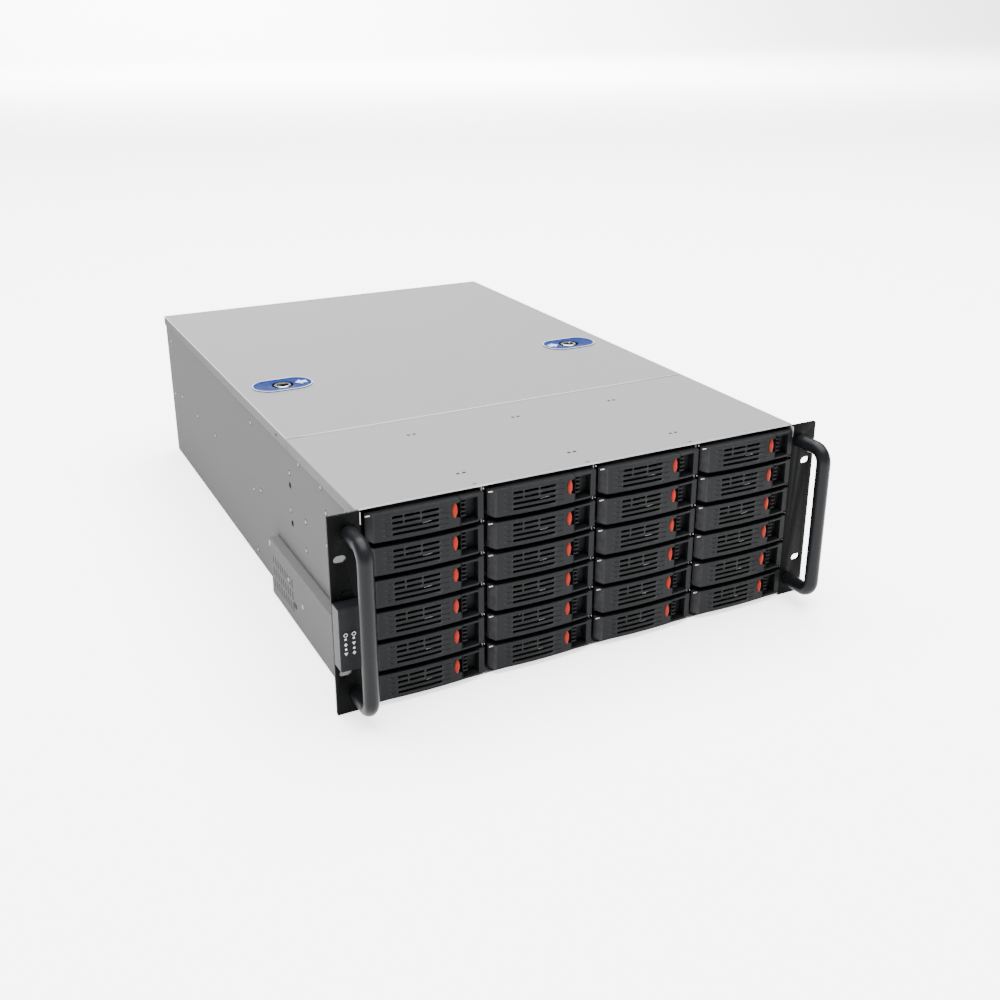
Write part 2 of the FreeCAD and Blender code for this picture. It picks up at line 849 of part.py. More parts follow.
def fan_frames():
    """Square fan housings against the wall, each with struts to the motor seat."""
    frames = []
    half = fan_size / 2.0
    y0 = fan_y - fan_depth
    for i in range(fan_count):
        x = fan_x(i)
        frame = box(x - half, x + half, y0, fan_y, fan_z - half, fan_z + half)
        frame = frame.cut(rod(x, y0 - 1, fan_z, fan_bore_radius, fan_depth + 2, Vector(0, 1, 0)))
        seat_y = fan_y - fan_stator_depth
        seat = moved(facing(polygon(2.0 * fan_hub_radius, 2 * fan_blades, fan_stator_depth)),
                     x, fan_y, fan_z)
        long = fan_bore_radius + 1.0
        w = fan_strut_width / 2.0
        struts = [
            box(x - long, x + long, seat_y, fan_y, fan_z - w, fan_z + w),
            box(x - w, x + w, seat_y, fan_y, fan_z - long, fan_z + long),
        ]
        bore = rod(x, seat_y - 1, fan_z, fan_shaft_radius + fan_shaft_clearance,
                   fan_stator_depth, Vector(0, 1, 0))
        frames.append(frame.fuse([seat] + struts).cut(bore).removeSplitter())
    return group(frames)


def fan_rotor(i):
    """A hub with two flats for each blade, a shaft and seven pitched blades."""
    x = fan_x(i)
    seat_y = fan_y - fan_stator_depth
    hub_y = seat_y - fan_rotor_gap - fan_hub_depth
    hub = moved(facing(polygon(2.0 * fan_hub_radius, 2 * fan_blades, fan_hub_depth)),
                x, hub_y + fan_hub_depth, fan_z)
    shaft_length = fan_rotor_gap + fan_stator_depth / 2.0
    shaft = rod(x, seat_y - fan_rotor_gap, fan_z, fan_shaft_radius, shaft_length, Vector(0, 1, 0))
    chord = fan_hub_depth / math.cos(math.radians(90.0 - fan_blade_pitch)) * 0.8
    blade = Part.makeBox(fan_blade_wall, chord, fan_blade_radius - fan_hub_radius / 2.0,
                         Vector(-fan_blade_wall / 2.0, -chord / 2.0, fan_hub_radius / 2.0))
    blade.rotate(Vector(0, 0, 0), Vector(0, 0, 1), fan_blade_pitch)
    middle_y = hub_y + fan_hub_depth / 2.0
    blades = []
    for k in range(fan_blades):
        turned = blade.copy()
        turned.rotate(Vector(0, 0, 0), Vector(0, 1, 0), 360.0 * k / fan_blades)
        blades.append(moved(turned, x, middle_y, fan_z))
    return hub.fuse([shaft] + blades).removeSplitter()


# Small parts of the board area, the control box and the cable channel


def standoffs():
    """Nine tapped hexagon standoffs on the floor under the board."""
    places = [
        (hole_column_a, hole_row_io),
        (hole_column_b, hole_row_a),
        (hole_column_c, hole_row_a),
    ]
    for column in (hole_column_a, hole_column_b, hole_column_c):
        for row in (hole_row_b, hole_row_c):
            places.append((column, row))
    body = polygon(2.0 * standoff_radius, 6, standoff_height)
    hole = rod(0, 0, standoff_height - standoff_hole_depth, standoff_hole_radius,
               standoff_hole_depth, Vector(0, 0, 1))
    one = body.cut(hole)
    return group([moved(one, board_right - c, board_rear_y - r, wall) for c, r in places])


def control_x(column):
    """Middle of an upright line of controls; column 0 is the outer one."""
    return -ear_span / 2.0 + control_column_inset + column * control_column_pitch


def control_housing():
    """A shallow box on the left ear with holes for two buttons and four lenses."""
    x0 = -ear_span / 2.0
    x1 = x0 + control_width
    y0 = ear_y - control_depth
    z0 = control_bottom
    z1 = z0 + control_height
    shell = box(x0, x1, y0, ear_y, z0, z1)
    front = [e for e in shell.Edges if e.BoundBox.YMax < y0 + 0.01]
    shell = shell.makeChamfer(control_chamfer, front)
    t = control_wall
    shell = shell.cut(box(x0 + t, x1 - t, y0 + t, ear_y + 1, z0 + t, z1 - t))
    cutters = []
    for column in (0, 1):
        x = control_x(column)
        cutters.append(rod(x, y0 - 1, z0 + control_button_height,
                           control_button_radius + control_button_clearance, t + 2, Vector(0, 1, 0)))
        for height in lens_heights:
            cutters.append(lens(column, height, y0 - 1, y0 + t + 1))
    return shell.cut(cutters).removeSplitter()


def control_button(column):
    y0 = ear_y - control_depth - control_button_proud
    z = control_bottom + control_button_height
    return rod(control_x(column), y0, z, control_button_radius, control_button_length, Vector(0, 1, 0))


def lens(column, height, y0, y1):
    """A small square light pipe of the control box, run from y0 to y1."""
    x = control_x(column)
    z = control_bottom + height
    half = lens_width / 2.0
    return box(x - half, x + half, y0, y1, z - half, z + half)


def indicator_lenses():
    """Four square light pipes set in the control box."""
    y0 = ear_y - control_depth - lens_proud
    return group([lens(column, height, y0, y0 + lens_length)
                  for column in (0, 1) for height in lens_heights])


def control_board():
    """The small circuit board held between the control box's side walls."""
    x0 = -ear_span / 2.0 + control_wall
    x1 = x0 + control_width - 2.0 * control_wall
    y1 = ear_y - control_board_gap
    return box(x0, x1, y1 - control_board_wall, y1,
               control_bottom + control_wall, control_bottom + control_height - control_wall)


def supply_shelf():
    """An inverted channel on the floor that the power supply slides in on."""
    x0 = supply_right - supply_width
    y0 = panel_front_y - supply_lip - shelf_depth
    y1 = panel_front_y - supply_lip
    top = panel_mid_z - supply_height / 2.0
    shelf = box(x0, supply_right, y0, y1, top - shelf_wall, top)
    legs = [
        box(x0, x0 + shelf_wall, y0, y1, wall, top),
        box(supply_right - shelf_wall, supply_right, y0, y1, wall, top),
    ]
    return shelf.fuse(legs).removeSplitter()


def cable_channel():
    """A shallow folded duct on the left side, open to the case wall and the ear."""
    x1 = -side_x
    x0 = x1 - channel_depth
    y0 = flange_y + wall
    y1 = y0 + channel_length
    z0 = channel_base_gap
    z1 = channel_height
    t = channel_wall
    duct = box(x0, x1, y0, y1, z0, z1)
    duct = duct.cut(box(x0 + t, x1 + 1, y0 - 1, y1 - t, z0 + t, z1 - t))
    screw_z = panel_mid_z - handle_spacing / 2.0
    half = channel_notch / 2.0
    cutters = [box(x0 - 1, x0 + t + 1, y0 - 1, y0 + handle_screw_head_height + 1.0,
                   screw_z - half, screw_z + half)]
    for i in range(channel_vent_columns):
        for k in range(channel_vent_rows):
            y = y1 - channel_vent_inset - i * channel_vent_pitch_y
            z = z0 + channel_vent_base + k * channel_vent_pitch_z
            cutters.append(box(x0 - 1, x0 + t + 1, y - channel_vent_width, y, z, z + channel_vent_height))
    hole = facing(stadium(channel_hole_height, channel_hole_width, t + 2))
    hole.rotate(Vector(0, 0, 0), Vector(0, 0, 1), 90)
    hole.rotate(Vector(0, 0, 0), Vector(1, 0, 0), 90)
    hole_z = z0 + channel_hole_base + channel_hole_height / 2.0
    cutters.append(moved(hole, x0 - 1, y1 - channel_hole_inset, hole_z))
    return duct.cut(cutters).removeSplitter()


export("base_tray", base_tray())
export("rear_panel", rear_panel())
export("slot_covers", slot_covers())
export("front_cover", front_cover())
export("rear_lid", rear_lid())
export("latch_bezels", latch_bezels())
export("latch_button_left", latch_button(-1))
export("latch_button_right", latch_button(1))
export("left_ear", ear(-1))
export("right_ear", ear(1))
export("left_handle", handle(-1))
export("right_handle", handle(1))
export("handle_screws", handle_screws())
export("drive_cage", drive_cage())
export("backplanes", backplanes())
export_trays()
export("fan_wall", fan_wall())
export("fan_frames", fan_frames())
for i in range(fan_count):
    export("fan_rotor_%d" % (i + 1), fan_rotor(i))
export("standoffs", standoffs())
export("control_housing", control_housing())
export("power_button", control_button(0))
export("reset_button", control_button(1))
export("indicator_lenses", indicator_lenses())
export("control_board", control_board())
export("supply_shelf", supply_shelf())
export("cable_channel", cable_channel())
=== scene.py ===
import math

import bmesh
import bpy
import numpy as np
from mathutils import Matrix, Vector


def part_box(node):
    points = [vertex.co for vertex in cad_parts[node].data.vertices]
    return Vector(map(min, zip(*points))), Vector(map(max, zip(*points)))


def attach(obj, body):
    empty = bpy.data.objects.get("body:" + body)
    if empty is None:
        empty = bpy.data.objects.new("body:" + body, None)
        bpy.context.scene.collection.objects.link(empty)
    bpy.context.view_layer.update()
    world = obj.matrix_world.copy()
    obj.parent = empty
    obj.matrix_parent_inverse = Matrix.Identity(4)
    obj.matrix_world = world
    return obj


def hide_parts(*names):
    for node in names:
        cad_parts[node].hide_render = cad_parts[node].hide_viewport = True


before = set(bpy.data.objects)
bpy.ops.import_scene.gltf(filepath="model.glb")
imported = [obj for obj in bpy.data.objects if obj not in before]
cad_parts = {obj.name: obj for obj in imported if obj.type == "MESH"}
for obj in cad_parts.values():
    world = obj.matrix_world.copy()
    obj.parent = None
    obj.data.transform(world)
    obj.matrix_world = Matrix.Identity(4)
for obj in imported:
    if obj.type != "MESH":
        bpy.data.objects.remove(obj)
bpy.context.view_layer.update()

# Looks of the rackmount server case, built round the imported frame. Shapes are worked out in
# millimetres in the frame's own axes, X to the right, Y from the front to the rear and Z up,
# and each mesh is written in metres with its place in its vertices.

MM = 0.001
MERGE = 1e-6
TO_FRONT = (0.0, -1.0, 0.0)
TO_LEFT = (-1.0, 0.0, 0.0)
UP = (0.0, 0.0, 1.0)
SIDES = ((-1, "left"), (1, "right"))

# Camera, fitted to the corners of the case in the photograph; places are in the frame
CAMERA_PLACE = (-496.4, -1103.6, 542.7)
CAMERA_TURN = 27.27
CAMERA_DROP = 20.89
FOCAL_PIXELS = 1168.8
IMAGE_PIXELS = 1000.0
SENSOR = 36.0
SHIFT_UP = -0.05


def corners(node):
    """Lowest and highest corner of a node of the frame, in millimetres."""
    low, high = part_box(node)
    return np.array(low) / MM, np.array(high) / MM


ear_low, ear_high = corners("left_ear")
cover_low, cover_high = corners("front_cover")
lid_low, lid_high = corners("rear_lid")
EAR_Y = ear_low[1]
EAR_BACK = ear_high[1]
PANEL_TOP = ear_high[2]
PANEL_MIDDLE = PANEL_TOP / 2.0
COVER_X = cover_high[0]
COVER_WALL = 1.0
COVER_GAP = 0.1
SIDE_X = COVER_X - COVER_WALL - COVER_GAP
SIDE_WALL = 1.2


# Materials: small helpers, shared effects, then the finishes


def add(tree, kind, inputs=None, **settings):
    """A shader node with its settings, and its inputs given as values or as sockets to link."""
    made = tree.nodes.new("ShaderNode" + kind)
    for key, value in settings.items():
        setattr(made, key, value)
    for key, value in (inputs or {}).items():
        if isinstance(value, bpy.types.NodeSocket):
            tree.links.new(value, made.inputs[key])
        else:
            made.inputs[key].default_value = value
    return made


def effect(name, inputs, outputs):
    """An empty node group with named sockets, and its two end nodes."""
    tree = bpy.data.node_groups.new(name, "ShaderNodeTree")
    for label, kind, value in inputs:
        socket = tree.interface.new_socket(name=label, in_out="INPUT", socket_type=kind)
        socket.default_value = value
    for label in outputs:
        tree.interface.new_socket(name=label, in_out="OUTPUT", socket_type="NodeSocketFloat")
    return tree, tree.nodes.new("NodeGroupInput"), tree.nodes.new("NodeGroupOutput")


def grain_effect():
    """Fine grain and slow cloudiness: noise on the place, stretched by a vector."""
    tree, given, out = effect(
        "grain",
        [("Scale", "NodeSocketFloat", 900.0), ("Stretch", "NodeSocketVector", (1.0, 1.0, 1.0)),
         ("Cloud Scale", "NodeSocketFloat", 9.0)],
        ["Height", "Cloud"],
    )
    place = add(tree, "TexCoord")
    pulled = add(tree, "VectorMath", {0: place.outputs["Object"], 1: given.outputs["Stretch"]},
                 operation="MULTIPLY")
    fine = add(tree, "TexNoise", {"Vector": pulled.outputs[0], "Scale": given.outputs["Scale"],
                                  "Detail": 4.0, "Roughness": 0.6})
    slow = add(tree, "TexNoise", {"Vector": place.outputs["Object"],
                                  "Scale": given.outputs["Cloud Scale"], "Detail": 3.0})
    tree.links.new(fine.outputs["Fac"], out.inputs["Height"])
    tree.links.new(slow.outputs["Fac"], out.inputs["Cloud"])
    return tree


def wear_effect():
    """Worn edges, where the surface is convex and a noise agrees, and fine specks of dust."""
    tree, given, out = effect(
        "wear",
        [("Edge Start", "NodeSocketFloat", 0.53), ("Edge End", "NodeSocketFloat", 0.62),
         ("Dust", "NodeSocketFloat", 0.7)],
        ["Edge", "Dust"],
    )
    shape = add(tree, "NewGeometry")
    ridge = add(tree, "MapRange", {"Value": shape.outputs["Pointiness"],
                                   "From Min": given.outputs["Edge Start"],
                                   "From Max": given.outputs["Edge End"]})
    place = add(tree, "TexCoord")
    patchy = add(tree, "TexNoise", {"Vector": place.outputs["Object"], "Scale": 160.0,
                                    "Detail": 5.0, "Roughness": 0.7})
    worn = add(tree, "Math", {0: ridge.outputs[0], 1: patchy.outputs["Fac"]},
               operation="MULTIPLY")
    speck = add(tree, "TexNoise", {"Vector": place.outputs["Object"], "Scale": 2600.0,
                                   "Detail": 2.0, "Roughness": 0.5})
    dust = add(tree, "MapRange", {"Value": speck.outputs["Fac"],
                                  "From Min": given.outputs["Dust"], "From Max": 0.8})
    tree.links.new(worn.outputs[0], out.inputs["Edge"])
    tree.links.new(dust.outputs[0], out.inputs["Dust"])
    return tree


GRAIN = grain_effect()
WEAR = wear_effect()


def mixed(tree, share, first, second):
    """Blend of two colours by a share that changes over the surface."""
    mix = add(tree, "Mix", data_type="RGBA")
    for index, value in ((0, share), (6, first), (7, second)):
        if isinstance(value, bpy.types.NodeSocket):
            tree.links.new(value, mix.inputs[index])
        else:
            mix.inputs[index].default_value = value
    return mix.outputs[2]


COAT_ROUGHNESS = 0.15
WEAR_BAND = 0.12
BUMP_DISTANCE = 0.0004
DUST_COLOR = (0.45, 0.44, 0.42, 1.0)


def shade(color, factor):
    """A colour made lighter or darker by a factor, opaque."""
    return tuple(min(c * factor, 1.0) for c in color) + (1.0,)


def finish(name, color, roughness, metallic=0.0, specular=0.5, grain=900.0, stretch=(1, 1, 1),
           cloud=9.0, relief=0.05, spread=0.06, rough_spread=0.08, worn=None, worn_color=None,
           dust=0.0, coat=0.0):
    """A solid finish: cloudy colour, grain in the roughness and relief, worn edges and dust."""
    material = bpy.data.materials.new(name)
    material.use_nodes = True
    tree = material.node_tree
    shader = tree.nodes["Principled BSDF"]
    for label, value in (("Metallic", metallic), ("Specular IOR Level", specular),
                         ("Coat Weight", coat), ("Coat Roughness", COAT_ROUGHNESS)):
        shader.inputs[label].default_value = value
    fine = add(tree, "Group", {"Scale": grain, "Stretch": stretch, "Cloud Scale": cloud},
               node_tree=GRAIN)
    tone = mixed(tree, fine.outputs["Cloud"], shade(color, 1.0 - spread), shade(color, 1.0 + spread))
    if worn is not None or dust > 0.0:
        wear = add(tree, "Group", node_tree=WEAR)
        if worn is not None:
            wear.inputs["Edge Start"].default_value = worn
            wear.inputs["Edge End"].default_value = worn + WEAR_BAND
            tone = mixed(tree, wear.outputs["Edge"], tone, shade(worn_color, 1.0))
        if dust > 0.0:
            share = add(tree, "Math", {0: wear.outputs["Dust"], 1: dust}, operation="MULTIPLY")
            tone = mixed(tree, share.outputs[0], tone, DUST_COLOR)
    tree.links.new(tone, shader.inputs["Base Color"])
    rough = add(tree, "MapRange", {"Value": fine.outputs["Height"],
                                   "To Min": roughness - rough_spread,
                                   "To Max": roughness + rough_spread})
    tree.links.new(rough.outputs[0], shader.inputs["Roughness"])
    bump = add(tree, "Bump", {"Height": fine.outputs["Height"], "Strength": relief,
                              "Distance": BUMP_DISTANCE})
    tree.links.new(bump.outputs[0], shader.inputs["Normal"])
    return material


# Painted shade on the cover's skirts: a near-black tone mixed in below the top edge, growing towards the
# rear, with less specular.
SKIRT_SHADE_TONE = (0.004, 0.004, 0.004, 1.0)
SKIRT_SHADE_LEVELS = (0.6, 1.4)
SKIRT_SHADE_RUN = (-0.30, 0.34)
SKIRT_SHADE_SHARES = (0.50, 0.80)
SKIRT_SHADE_GLOSS = (0.05, 0.01)


def painted_skirt_shade(material):
    """Paints shade on the folded skirts of a cover, darker and less glossy more and more towards the rear.
    """
    tree = material.node_tree
    shader = tree.nodes["Principled BSDF"]
    coat = shader.inputs["Base Color"].links[0].from_socket
    place = add(tree, "TexCoord")
    axes = add(tree, "SeparateXYZ", {0: place.outputs["Object"]})
    low = add(tree, "MapRange", {"Value": axes.outputs["Z"],
                                 "From Min": (PANEL_TOP - SKIRT_SHADE_LEVELS[0]) * MM,
                                 "From Max": (PANEL_TOP - SKIRT_SHADE_LEVELS[1]) * MM})
    back = add(tree, "MapRange", {"Value": axes.outputs["Y"],
                                  "From Min": SKIRT_SHADE_RUN[0], "From Max": SKIRT_SHADE_RUN[1],
                                  "To Min": SKIRT_SHADE_SHARES[0], "To Max": SKIRT_SHADE_SHARES[1]})
    share = add(tree, "Math", {0: low.outputs[0], 1: back.outputs[0]}, operation="MULTIPLY")
    tree.links.new(mixed(tree, share.outputs[0], coat, SKIRT_SHADE_TONE), shader.inputs["Base Color"])
    gloss = add(tree, "MapRange", {"Value": share.outputs[0],
                                   "To Min": SKIRT_SHADE_GLOSS[0], "To Max": SKIRT_SHADE_GLOSS[1]})
    tree.links.new(gloss.outputs[0], shader.inputs["Specular IOR Level"])


def circuit_board():
    """Solder mask over copper: right-angled tracks from a brick pattern, pads from cells."""
    material = finish("circuit_board", (0.02, 0.12, 0.05), 0.32, grain=600.0, cloud=30.0, coat=0.4)
    tree = material.node_tree
    shader = tree.nodes["Principled BSDF"]
    mask = shader.inputs["Base Color"].links[0].from_socket
    place = add(tree, "TexCoord")
    turned = add(tree, "Mapping", {"Vector": place.outputs["Object"],
                                   "Rotation": (math.pi / 2.0, 0.0, 0.0)})
    tracks = add(tree, "TexBrick", {"Vector": turned.outputs[0], "Scale": 90.0,
                                    "Mortar Size": 0.025, "Color1": (0, 0, 0, 1),
                                    "Color2": (0, 0, 0, 1), "Mortar": (1, 1, 1, 1)})
    lined = mixed(tree, tracks.outputs["Color"], mask, (0.05, 0.24, 0.09, 1.0))
    cells = add(tree, "TexVoronoi", {"Vector": place.outputs["Object"], "Scale": 260.0})
    pads = add(tree, "MapRange", {"Value": cells.outputs["Distance"], "From Min": 0.16,
                                  "From Max": 0.12})
    tree.links.new(mixed(tree, pads.outputs[0], lined, (0.55, 0.45, 0.25, 1.0)),
                   shader.inputs["Base Color"])
    return material


COVER_COAT = finish("cover_coat", (0.152, 0.152, 0.152), 0.50, specular=0.05, grain=1500.0, cloud=3.5,
                    spread=0.025, rough_spread=0.05, dust=0.05)
# Paints shade on the cover's skirts.
painted_skirt_shade(COVER_COAT)
# The cover's grey paint made darker as painted shade, for the sides, base and channel that face away from
# the overhead light.
SHADED_BODY_COAT = finish("shaded_body_coat", (0.090, 0.090, 0.090), 0.60, specular=0.0, grain=1500.0, cloud=3.5,
                   spread=0.03, rough_spread=0.05, dust=0.05)
ZINC_SHEET = finish("zinc_sheet", (0.115, 0.117, 0.122), 0.42, metallic=0.25, specular=0.1, grain=70.0,
                    stretch=(1, 12, 1), cloud=40.0, relief=0.06, spread=0.14, rough_spread=0.10)
# Bare steel for the spring leaf, wire and cage ends, and painted highlights as light strips along the cover,
# seam, lid and side edges.
RAW_EDGE_AND_HIGHLIGHT = finish("raw_edge_and_highlight", (0.33, 0.33, 0.335), 0.34, metallic=0.3, grain=500.0, cloud=60.0,
                  relief=0.04, spread=0.05)
RIVET_STEEL = finish("rivet_steel", (0.16, 0.16, 0.165), 0.42, metallic=0.35, specular=0.2, grain=800.0,
                     cloud=120.0, relief=0.08, spread=0.12)
# Near-black: painted shade in holes, slots, slits, behind vents and round rivet and screw heads, and the
# black of the grommet.
HOLE_SHADE_AND_RUBBER = finish("hole_shade_and_rubber", (0.006, 0.006, 0.0065), 0.7, specular=0.1, grain=700.0, spread=0.3)
EAR_BLACK = finish("ear_black", (0.0014, 0.0016, 0.0016), 0.45, specular=0.03, grain=2400.0, cloud=18.0,
                   relief=0.35, spread=0.12, rough_spread=0.06, worn=0.56,
                   worn_color=(0.03, 0.03, 0.03), dust=0.015)
HANDLE_BLACK = finish("handle_black", (0.0040, 0.0044, 0.0054), 0.33, specular=0.10, grain=1800.0,
                      cloud=22.0, relief=0.22, spread=0.15, rough_spread=0.07, dust=0.03)
TRAY_PLASTIC = finish("tray_plastic", (0.0062, 0.0066, 0.0072), 0.42, specular=0.06, grain=3200.0,
                      cloud=30.0, relief=0.30, spread=0.10, rough_spread=0.06, worn=0.57,
                      worn_color=(0.04, 0.04, 0.042), dust=0.02)
TRAY_SHADOW = finish("tray_shadow", (0.002, 0.002, 0.0022), 0.55, specular=0.04, grain=2000.0,
                     cloud=30.0, relief=0.2, spread=0.15)
BUTTON_ORANGE = finish("button_orange", (0.165, 0.010, 0.004), 0.40, specular=0.08, grain=1500.0,
                       cloud=90.0, relief=0.06, spread=0.12)
LATCH_BLUE = finish("latch_blue", (0.008, 0.017, 0.078), 0.5, specular=0.02, grain=1500.0, cloud=50.0,
                    relief=0.12, spread=0.12)
LATCH_PALE = finish("latch_pale", (0.30, 0.35, 0.50), 0.40, specular=0.1, cloud=60.0, spread=0.05)
LATCH_CHROME = finish("latch_chrome", (0.34, 0.35, 0.35), 0.16, metallic=1.0, cloud=120.0, relief=0.02,
                      rough_spread=0.04)
# Black of the latch caps and seats, and painted shade as a ring inside each latch's recess.
LATCH_BLACK_AND_SHADE = finish("latch_black_and_shade", (0.003, 0.003, 0.0035), 0.45, specular=0.0, grain=1200.0,
                     relief=0.08, spread=0.2)
FAN_BLACK = finish("fan_black", (0.012, 0.012, 0.013), 0.38, grain=1800.0, cloud=40.0, relief=0.2,
                   spread=0.15)
BRASS = finish("brass", (0.62, 0.45, 0.18), 0.26, metallic=1.0, grain=260.0, stretch=(1, 1, 8),
               spread=0.10)
MARK_WHITE = finish("mark_white", (0.36, 0.365, 0.37), 0.5, grain=1500.0, spread=0.04)
LENS_MILKY = finish("lens_milky", (0.55, 0.58, 0.60), 0.22, relief=0.03, spread=0.05, coat=0.5)
CONTROL_BLACK = finish("control_black", (0.006, 0.0064, 0.0072), 0.45, specular=0.08, grain=2600.0,
                       cloud=40.0, relief=0.30, spread=0.12, worn=0.57, worn_color=(0.03, 0.03, 0.03))
BOARD_GREEN = circuit_board()


# Mesh helpers


def linked(name, mesh):
    """A new object in the scene that shows a mesh, lamp, curve or camera."""
    made = bpy.data.objects.new(name, mesh)
    bpy.context.scene.collection.objects.link(made)
    return made


def cleaned(mesh, front=None):
    """Merges doubles and turns the faces outwards, an open sheet's towards its front."""
    work = bmesh.new()
    work.from_mesh(mesh)
    bmesh.ops.remove_doubles(work, verts=work.verts, dist=MERGE)
    bmesh.ops.recalc_face_normals(work, faces=work.faces)
    if front is not None:
        lean = sum((f.normal * f.calc_area() for f in work.faces), Vector())
        if lean.dot(Vector(front)) < 0.0:
            bmesh.ops.reverse_faces(work, faces=work.faces)
    work.to_mesh(mesh)
    work.free()


def mesh_of(name, points, faces, front=None):
    """A mesh from points in millimetres and a list of faces."""
    mesh = bpy.data.meshes.new(name)
    mesh.from_pydata((np.asarray(points, float).reshape(-1, 3) * MM).tolist(), [],
                     [list(map(int, f)) for f in faces])
    cleaned(mesh, front)
    return mesh


def quads(rows, columns, wrap=False):
    """Corner numbers of a grid's quads, shaped rows by columns by four; wrap joins the last column."""
    i = np.arange(rows - 1)[:, None]
    j = np.arange(columns if wrap else columns - 1)[None, :]
    after = (j + 1) % columns
    ring = (i * columns + j, (i + 1) * columns + j, (i + 1) * columns + after, i * columns + after)
    return np.stack(np.broadcast_arrays(*ring), -1)


def piece(mesh, body, material, replaces=(), wall=0.0, bevel=0.0, segments=2, sharp=40.0):
    """A finished piece under its mesh's name: walls and edges by modifiers, material, body."""
    obj = linked(mesh.name, mesh)
    if wall:
        solid = obj.modifiers.new("wall", "SOLIDIFY")
        solid.thickness = wall * MM
        solid.offset = -1.0
        solid.use_even_offset = True
    if bevel:
        edge = obj.modifiers.new("edge", "BEVEL")
        edge.width = bevel * MM
        edge.segments = segments
        edge.limit_method = "ANGLE"
        edge.angle_limit = math.radians(sharp)
        edge.harden_normals = True
    obj.data.shade_smooth()
    if not bevel:
        obj.data.set_sharp_from_angle(angle=math.radians(sharp))
    obj.data.materials.clear()
    obj.data.materials.append(material)
    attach(obj, body)
    if replaces:
        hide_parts(*replaces)


def joined(parts):
    """Points and faces of several meshes as one pair of lists."""
    points = []
    faces = []
    count = 0
    for part_points, part_faces in parts:
        part_points = np.asarray(part_points, float).reshape(-1, 3)
        points.append(part_points)
        faces += [[int(c) + count for c in f] for f in part_faces]
        count += len(part_points)
    return np.concatenate(points), faces


def lathe(profile, segments=24):
    """A profile of radius and height pairs turned about Z; closed where the radius is zero."""
    profile = np.asarray(profile, float)
    angle = np.arange(segments) * 2.0 * math.pi / segments
    radius = profile[:, 0][:, None]
    x = radius * np.cos(angle)
    y = radius * np.sin(angle)
    z = np.broadcast_to(profile[:, 1][:, None], x.shape)
    return np.stack([x, y, z], -1).reshape(-1, 3), quads(len(profile), segments, True).reshape(-1, 4)


def turned(shape, direction, place=(0.0, 0.0, 0.0)):
    """A shape built about Z, turned so that +Z looks along direction, then moved to a place."""
    turn = Vector((0, 0, 1)).rotation_difference(Vector(direction)).to_matrix()
    points = np.asarray(shape[0], float).reshape(-1, 3) @ np.array(turn).T
    return points + np.asarray(place, float), shape[1]


def quartered(shape):
    """A shape turned a quarter in plan, so that its length runs along Y."""
    return shape[0] @ np.array([[0, 1, 0], [-1, 0, 0], [0, 0, 1.0]]), shape[1]


def repeated(shape, places):
    """Copies of one shape, points and faces, at each place."""
    points, faces = shape
    points = np.asarray(points, float).reshape(-1, 3)
    faces = np.asarray(faces)
    places = np.asarray(places, float).reshape(-1, 3)
    all_points = points[None] + places[:, None]
    steps = np.arange(len(places)) * len(points)
    return all_points.reshape(-1, 3), (faces[None] + steps[:, None, None]).reshape(-1, faces.shape[1])


def prism(outline, low, high):
    """A closed outline in plan raised from low to high."""
    outline = np.asarray(outline, float)
    count = len(outline)
    rings = [np.column_stack([outline, np.full(count, level)]) for level in (low, high)]
    sides = quads(2, count, True).reshape(-1, 4).tolist()
    return np.concatenate(rings), sides + [list(range(count)), list(range(count, 2 * count))]


def block(low, high):
    """A box between two corners as a prism."""
    outline = [(low[0], low[1]), (high[0], low[1]), (high[0], high[1]), (low[0], high[1])]
    return prism(outline, low[2], high[2])


def rounded(points, radius, steps=4, closed=False):
    """A polyline with its corners turned into arcs that touch both runs."""
    points = np.asarray(points, float)
    count = len(points)
    result = []
    for i in range(count):
        if not closed and i in (0, count - 1):
            result.append(points[i])
            continue
        before = points[i - 1] - points[i]
        after = points[(i + 1) % count] - points[i]
        a = before / np.linalg.norm(before)
        b = after / np.linalg.norm(after)
        half = math.acos(np.clip(a @ b, -1.0, 1.0)) / 2.0
        centre = points[i] + (a + b) / np.linalg.norm(a + b) * radius / math.sin(half)
        start = points[i] + a * radius / math.tan(half) - centre
        end = points[i] + b * radius / math.tan(half) - centre
        swing = math.pi - 2.0 * half
        for t in np.linspace(0.0, 1.0, steps + 1):
            turn = (math.sin((1.0 - t) * swing) * start + math.sin(t * swing) * end) / math.sin(swing)
            result.append(centre + turn)
    return np.array(result)


def oval(length, width, steps=10):
    """The outline of a flat-sided oval about the origin, its length along X."""
    run = (length - width) / 2.0
    angle = np.linspace(-math.pi / 2.0, math.pi / 2.0, steps)
    right = np.column_stack([run + width / 2.0 * np.cos(angle), width / 2.0 * np.sin(angle)])
    return np.concatenate([right, -right])


def circle(x, y, radius, count=28):
    """The outline of a circle."""
    angle = np.arange(count) * 2.0 * math.pi / count
    return np.column_stack([x + radius * np.cos(angle), y + radius * np.sin(angle)])


def rectangle(x0, x1, y0, y1, radius=0.0):
    """The outline of a rectangle, its corners rounded by a radius."""
    points = [(x0, y0), (x1, y0), (x1, y1), (x0, y1)]
    return rounded(points, radius, closed=True) if radius else np.array(points, float)


